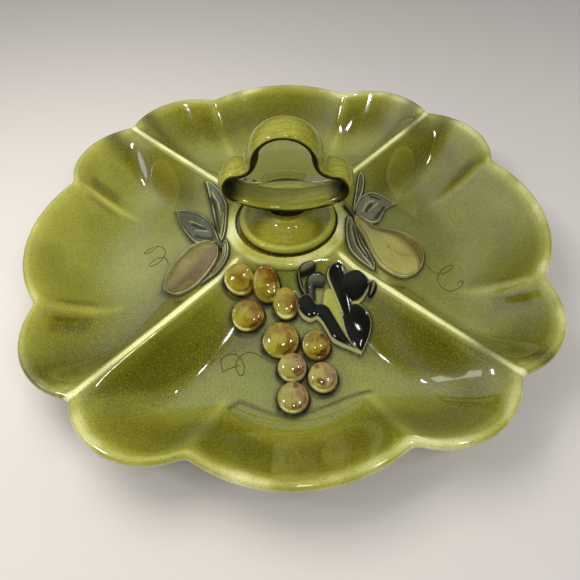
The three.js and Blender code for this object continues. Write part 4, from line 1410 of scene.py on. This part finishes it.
# Pale colours and the thin mask also paint highlights; deep and ink colours and masks also paint
# shade, shadow and dark reflections
TINT_INPUTS = ("Ware", "Thin Glaze And Highlight", "Bare Edge And Highlight", "Deep Glaze And Shade", "Ink Line And Shade")
VALUE_INPUTS = ("Thin", "Deep", "Ink", "Cloud", "Cloud Scale", "Speckle", "Streak", "Full Gloss")
VALUE_OUTPUTS = ("Roughness", "Gloss", "Height")


def glaze_group():
    """Fired glaze: thin on ridges, deep in hollows, inked in drawn lines, clouded and speckled; its
    pale colours also paint highlights, and its dark ones paint shade, shadow and dark reflections.
    """
    group = bpy.data.node_groups.new("fired_glaze", "ShaderNodeTree")
    colour, number = "NodeSocketColor", "NodeSocketFloat"
    for kind, way, names in ((colour, "INPUT", TINT_INPUTS), (number, "INPUT", VALUE_INPUTS),
                             (colour, "OUTPUT", ["Color"]), (number, "OUTPUT", VALUE_OUTPUTS)):
        for name in names:
            group.interface.new_socket(name=name, in_out=way, socket_type=kind)
    kit = NodeKit(group)
    entry = group.nodes.new("NodeGroupInput").outputs
    leave = group.nodes.new("NodeGroupOutput").inputs
    place = group.nodes.new("ShaderNodeTexCoord").outputs["Object"]
    stretch = group.nodes.new("ShaderNodeMapping")
    stretch.inputs["Scale"].default_value = BRUSH_STRETCH
    kit.feed(place, stretch.inputs["Vector"])

    cloud = kit.noise(entry["Cloud Scale"], CLOUD_DETAIL, place)
    wave = kit.noise(*WAVE, place)
    wisp = kit.noise(*WISP, place)
    grain = kit.noise(*GRAIN, place)
    brushed = kit.noise(*BRUSHED, stretch.outputs["Vector"])
    streaked = kit.maths("MULTIPLY", kit.span(brushed, *STREAK_SPAN), entry["Streak"])
    clouded = kit.maths("MULTIPLY", kit.span(cloud, *CLOUD_SPAN), entry["Cloud"])
    cloudy = kit.maths("ADD", clouded, streaked)
    thin_and_highlight = kit.maths("ADD", entry["Thin"], cloudy, True)
    deep_and_shade = kit.maths("SUBTRACT", entry["Deep"], cloudy, True)
    paled = kit.blend(thin_and_highlight, entry["Ware"], entry["Thin Glaze And Highlight"])
    palest = kit.blend(kit.span(thin_and_highlight, *BARE_SPAN), paled, entry["Bare Edge And Highlight"])
    darkened = kit.blend(deep_and_shade, palest, entry["Deep Glaze And Shade"])
    fleck = kit.maths("MULTIPLY", kit.span(grain, *FLECK_SPAN), entry["Speckle"])
    flecked = kit.blend(fleck, darkened, FLECK_TINT, "MULTIPLY")
    bloom = kit.maths("MULTIPLY", kit.span(grain, *BLOOM_SPAN), entry["Speckle"])
    bloomed = kit.blend(kit.maths("MULTIPLY", bloom, BLOOM_STRENGTH), flecked, entry["Thin Glaze And Highlight"])
    broken = kit.maths("MULTIPLY", entry["Ink"], kit.span(wisp, *INK_SPAN), True)
    dull = kit.maths("MULTIPLY", broken, INK_ROUGHNESS)
    clear = kit.maths("SUBTRACT", 1.0, broken)
    kit.feed(kit.blend(broken, bloomed, entry["Ink Line And Shade"]), leave["Color"])
    kit.feed(kit.maths("ADD", kit.span(wisp, *ROUGH_SPAN), dull), leave["Roughness"])
    kit.feed(kit.maths("MULTIPLY", clear, entry["Full Gloss"]), leave["Gloss"])
    kit.feed(kit.maths("ADD", wave, kit.maths("MULTIPLY", wisp, WISP_HEIGHT)), leave["Height"])
    return group


FIRED = glaze_group()
INK_AND_SHADOW = (0.010, 0.010, 0.006)


def glaze(name, ware, thin_and_highlight, bare_and_highlight, deep_and_shade, ink_and_shade=INK_AND_SHADOW, cloud=0.3, cloud_scale=60, speckle=0.3,
          second=None, tone_span=(0.2, 0.8), gloss=1.0, index=1.5, coat_index=1.85, streaked=False):
    """Glossy glaze over the ware, with a second colour under it where the tone is high."""
    material = bpy.data.materials.new(name)
    material.use_nodes = True
    nodes = material.node_tree.nodes
    kit = NodeKit(material.node_tree)
    shader = nodes["Principled BSDF"].inputs
    shader["IOR"].default_value = index
    shader["Coat IOR"].default_value = coat_index
    shader["Coat Roughness"].default_value = COAT_ROUGHNESS
    fired = nodes.new("ShaderNodeGroup")
    fired.node_tree = FIRED
    for label, tint in zip(TINT_INPUTS, (ware, thin_and_highlight, bare_and_highlight, deep_and_shade, ink_and_shade)):
        fired.inputs[label].default_value = (*tint, 1)
    for label, value in (("Cloud", cloud), ("Cloud Scale", cloud_scale), ("Speckle", speckle),
                         ("Full Gloss", gloss)):
        fired.inputs[label].default_value = value
    for label, mask in (("Thin", "thin_and_highlight"), ("Deep", "deep_and_shade"), ("Ink", "ink_and_shade")):
        kit.feed(kit.attribute(mask), fired.inputs[label])
    if streaked:
        kit.feed(kit.attribute("tone"), fired.inputs["Streak"])
    if second:
        tones = nodes.new("ShaderNodeValToRGB")
        for at, tint in enumerate((ware, second)):
            tones.color_ramp.elements[at].position = tone_span[at]
            tones.color_ramp.elements[at].color = (*tint, 1)
        kit.feed(kit.attribute("tone"), tones.inputs["Fac"])
        kit.feed(tones.outputs["Color"], fired.inputs["Ware"])
    wave = nodes.new("ShaderNodeBump")
    wave.inputs["Strength"].default_value = WAVE_STRENGTH
    wave.inputs["Distance"].default_value = WAVE_HEIGHT
    kit.feed(fired.outputs["Height"], wave.inputs["Height"])
    kit.feed(wave.outputs["Normal"], shader["Normal"])
    for label, target in (("Color", "Base Color"), ("Roughness", "Roughness"),
                          ("Gloss", "Coat Weight")):
        kit.feed(fired.outputs[label], shader[target])
    return material


# The pale green and cream also paint highlights; the dark green also paints shade and dark
# reflections
GREEN = (0.206, 0.206, 0.007)
THIN_AND_HIGHLIGHT_GREEN = (0.470, 0.460, 0.075)
BARE_AND_HIGHLIGHT_CREAM = (0.860, 0.840, 0.420)
DEEP_AND_SHADE_GREEN = (0.105, 0.094, 0.003)
# Painted sheen: a greyish reflection of the room, laid into the floors' colour
PAINTED_SHEEN_GREEN = (0.196, 0.212, 0.032)

# Glazes: ware, thin glaze and highlight, bare edge and highlight, and deep glaze and shade colour
# first
GLAZES = {
    "body_glaze": glaze(
        "avocado_glaze", GREEN, THIN_AND_HIGHLIGHT_GREEN, BARE_AND_HIGHLIGHT_CREAM, DEEP_AND_SHADE_GREEN, ink_and_shade=(0.018, 0.018, 0.009),
        cloud=0.2, cloud_scale=26, speckle=0.6, second=PAINTED_SHEEN_GREEN, tone_span=(0, 1)),
    "handle_glaze": glaze(
        "streaked_handle_glaze", (0.232, 0.226, 0.018), THIN_AND_HIGHLIGHT_GREEN, BARE_AND_HIGHLIGHT_CREAM, (0.100, 0.078, 0.003),
        cloud=0.2, cloud_scale=40, speckle=0.5, index=1.05, coat_index=1.6, streaked=True),
    "grape_glaze": glaze(
        "amber_grape_glaze",
        (0.265, 0.225, 0.009), (0.40, 0.36, 0.06), (0.70, 0.68, 0.32), (0.070, 0.028, 0.004),
        cloud=0.9, cloud_scale=130, speckle=0.5, second=(0.200, 0.098, 0.005), gloss=0.4),
    "rosy_grape_glaze": glaze(
        "rosy_grape_glaze",
        (0.300, 0.280, 0.040), (0.44, 0.40, 0.13), (0.66, 0.64, 0.34), (0.105, 0.060, 0.006),
        cloud=0.5, cloud_scale=210, speckle=0.5, second=(0.270, 0.170, 0.070), gloss=0.4),
    "vine_glaze": glaze(
        "black_vine_glaze",
        (0.006, 0.006, 0.004), (0.40, 0.40, 0.16), (0.62, 0.61, 0.30), (0.004, 0.004, 0.003),
        cloud=0, speckle=0, gloss=0.25, index=1.2),
    "stem_glaze": glaze(
        "grey_stem_glaze",
        (0.030, 0.033, 0.020), (0.20, 0.22, 0.12), (0.42, 0.44, 0.24), (0.010, 0.010, 0.007),
        cloud_scale=80, speckle=0.2, gloss=0.4),
    "leaf_glaze": glaze(
        "grey_leaf_glaze",
        (0.070, 0.073, 0.036), (0.36, 0.36, 0.17), (0.56, 0.55, 0.26), (0.014, 0.016, 0.007),
        cloud=0.25, gloss=0.75),
    "pale_leaf_glaze": glaze(
        "pale_grey_leaf_glaze",
        (0.138, 0.134, 0.074), (0.38, 0.38, 0.19), (0.58, 0.57, 0.28), (0.016, 0.018, 0.008),
        cloud=0.25, gloss=0.75),
    "pear_glaze": glaze(
        "tan_pear_glaze",
        (0.160, 0.108, 0.018), (0.42, 0.40, 0.15), (0.62, 0.60, 0.30), (0.06, 0.036, 0.010),
        cloud=0.45, cloud_scale=45, speckle=0.4, second=(0.400, 0.370, 0.090), gloss=0.5),
    "fruit_glaze": glaze(
        "mauve_fruit_glaze",
        (0.175, 0.148, 0.030), (0.42, 0.39, 0.17), (0.62, 0.60, 0.32), (0.055, 0.04, 0.014),
        cloud=0.4, cloud_scale=45, speckle=0.4, second=(0.150, 0.108, 0.045),
        tone_span=(0.35, 0.75), gloss=0.5),
    "green_fruit_glaze": glaze(
        "green_fruit_glaze",
        (0.15, 0.155, 0.025), (0.24, 0.245, 0.06), (0.36, 0.36, 0.14), (0.05, 0.05, 0.014),
        cloud=0.4, cloud_scale=45, gloss=0.5),
    "line_glaze": glaze(
        "drawn_line_glaze",
        (0.05, 0.05, 0.01), (0.09, 0.09, 0.02), (0.12, 0.12, 0.03), (0.03, 0.03, 0.008),
        ink_and_shade=(0.080, 0.080, 0.020), speckle=0.2),
}


# Making of the object

def outline_tree(rows):
    """Finder of the nearest place on the outlines of these sprigs."""
    places = [place for _, blades, *_ in rows for blade in blades for place in blade.outline()]
    tree = KDTree(len(places))
    for at, place in enumerate(places):
        tree.insert((place.x, place.y, 0), at)
    tree.balance()
    return tree


make_body(outline_tree(SPRIGS), outline_tree(SPRIGS[:len(GRAPES)]), GLAZES["body_glaze"])
make_handle(GLAZES["handle_glaze"])
for name, blades, form, slot, finish in SPRIGS:
    if name in SCENE_ONLY:
        make_sprig(name, blades, form, slot, GLAZES[finish])
    else:
        make_sprig(name + "_glazed", blades, form, slot, GLAZES[finish], name)
for name, (bearing, places) in TENDRILS.items():
    make_sprig(name, [DrawnLine(bearing, places)], line_form, "vine_glaze", GLAZES["line_glaze"],
               along=TENDRIL_ALONG * len(places), across=TENDRIL_ACROSS, even=True)


# Studio

CAMERA_PITCH = 0.9056
CAMERA_ROLL = 0.0431
CAMERA_YAW = -0.0123
CAMERA_PLACE = (0.4, -234.8, 270.3)
SENSOR_WIDTH = 36
FRAME_WIDTH = 580
FOCAL_PIXELS = 511.27
NEAREST_SEEN = 0.01

FLOOR_REACH = 4
FLOOR_COLOUR = (0.66, 0.62, 0.58, 1)
FLOOR_ROUGHNESS = 0.8

ROOM_COLOUR = (0.94, 0.99, 1.0, 1)
ROOM_DIM = 0.03
ROOM_BRIGHT = 0.39
ROOM_RIGHT_LOSS = 0.6
ROOM_LEFT_GLOW = 0.24
BACKDROP = 0.72
# Axis along which the room's light changes, and the two ends of the change
ROOM_BACK = ("Y", -0.5, 0.0)
ROOM_UP = ("Z", -0.05, 0.75)
ROOM_RIGHT = ("X", -0.1, 0.8)
GLOW_LEFT = ("X", -0.25, -0.8)
GLOW_UP = ("Z", 0.2, 0.5)

# Lamps: place, aim, width, height and radiance, then whether the gloss mirrors it, and its tint
LAMPS = {
    "left_overhead": ((-0.22, 0.0, 0.42), (-0.34, 0, 0.0), 0.25, 0.4, 5.4, False, (1, 0.955, 0.9)),
    "front_fill": ((0.4, -0.68, 0.85), (0, 0, 0.03), 0.5, 0.3, 9.5, False),
    "right_fill": ((0.55, 0.0, 0.4), (-0.1, 0, 0), 0.3, 0.3, 1.8, False),
    "middle_lamp": ((0.03, -0.5, 1.1), (0, 0, 0.03), 0.10, 0.05, 42),
    "right_lamp": ((0.48, -0.36, 1.05), (0, 0, 0.03), 0.10, 0.05, 42),
    "left_window": ((-0.83, -0.26, 0.5), (-0.1, 0.03, 0.02), 0.16, 0.2, 1.7),
    "left_lamp": ((-0.7, -0.2, 0.9), (0, 0, 0.03), 0.14, 0.08, 32),
}


def place_camera():
    data = bpy.data.cameras.new("camera")
    data.sensor_width = SENSOR_WIDTH
    data.lens = FOCAL_PIXELS / FRAME_WIDTH * SENSOR_WIDTH
    data.clip_start = NEAREST_SEEN
    camera = placed("camera", data)
    pitch = Matrix.Rotation(QUARTER - CAMERA_PITCH, 4, "X")
    roll = Matrix.Rotation(-CAMERA_ROLL, 4, "Z")
    yaw = Matrix.Rotation(CAMERA_YAW, 4, "Z")
    camera.matrix_world = yaw @ Matrix.Translation(Vector(CAMERA_PLACE) * MM) @ pitch @ roll
    bpy.context.scene.camera = camera


def soft_light(name, place, aim, width, height, radiance, mirrored=True, tint=(1, 1, 1)):
    data = bpy.data.lights.new(name, "AREA")
    data.shape = "RECTANGLE"
    data.size, data.size_y = width, height
    data.energy = radiance * math.pi * width * height
    data.color = tint
    lamp = placed(name, data)
    lamp.location = place
    lamp.rotation_euler = (Vector(aim) - Vector(place)).to_track_quat("-Z", "Y").to_euler()
    lamp.visible_camera = False
    lamp.visible_glossy = mirrored


def lay_floor():
    bm = bmesh.new()
    bmesh.ops.create_grid(bm, x_segments=1, y_segments=1, size=FLOOR_REACH)
    mesh = bpy.data.meshes.new("floor")
    bm.to_mesh(mesh)
    bm.free()
    floor = placed("floor", mesh)
    material = bpy.data.materials.new("pale_floor")
    material.use_nodes = True
    shader = material.node_tree.nodes["Principled BSDF"]
    shader.inputs["Base Color"].default_value = FLOOR_COLOUR
    shader.inputs["Roughness"].default_value = FLOOR_ROUGHNESS
    mesh.materials.append(material)


def light_room():
    """Pale room behind and over the dish, dark on the near side, as its gloss shows."""
    world = bpy.data.worlds.new("room")
    world.use_nodes = True
    bpy.context.scene.world = world
    nodes = world.node_tree.nodes
    kit = NodeKit(world.node_tree)
    split = nodes.new("ShaderNodeSeparateXYZ")
    kit.feed(nodes.new("ShaderNodeTexCoord").outputs["Generated"], split.inputs["Vector"])

    def fade(axis, none, full):
        return kit.span(split.outputs[axis], none, full)

    pale = kit.maths("MULTIPLY", fade(*ROOM_BACK), fade(*ROOM_UP))
    lost = kit.maths("MULTIPLY", fade(*ROOM_RIGHT), ROOM_RIGHT_LOSS * ROOM_BRIGHT)
    bright = kit.maths("MULTIPLY", pale, kit.maths("SUBTRACT", ROOM_BRIGHT, lost))
    glow = kit.maths("MULTIPLY", fade(*GLOW_LEFT), fade(*GLOW_UP))
    room = kit.maths("ADD", bright, kit.maths("MULTIPLY", glow, ROOM_LEFT_GLOW))
    seen = nodes.new("ShaderNodeLightPath").outputs["Is Camera Ray"]
    lit = kit.maths("ADD", room, ROOM_DIM)
    unseen = kit.maths("MULTIPLY", lit, kit.maths("SUBTRACT", 1.0, seen))
    sky = nodes["Background"].inputs
    kit.feed(kit.maths("ADD", unseen, kit.maths("MULTIPLY", seen, BACKDROP)), sky["Strength"])
    sky["Color"].default_value = ROOM_COLOUR
    for name, lamp in LAMPS.items():
        soft_light(name, *lamp)


place_camera()
lay_floor()
light_room()
bpy.context.scene.view_settings.view_transform = "Standard"
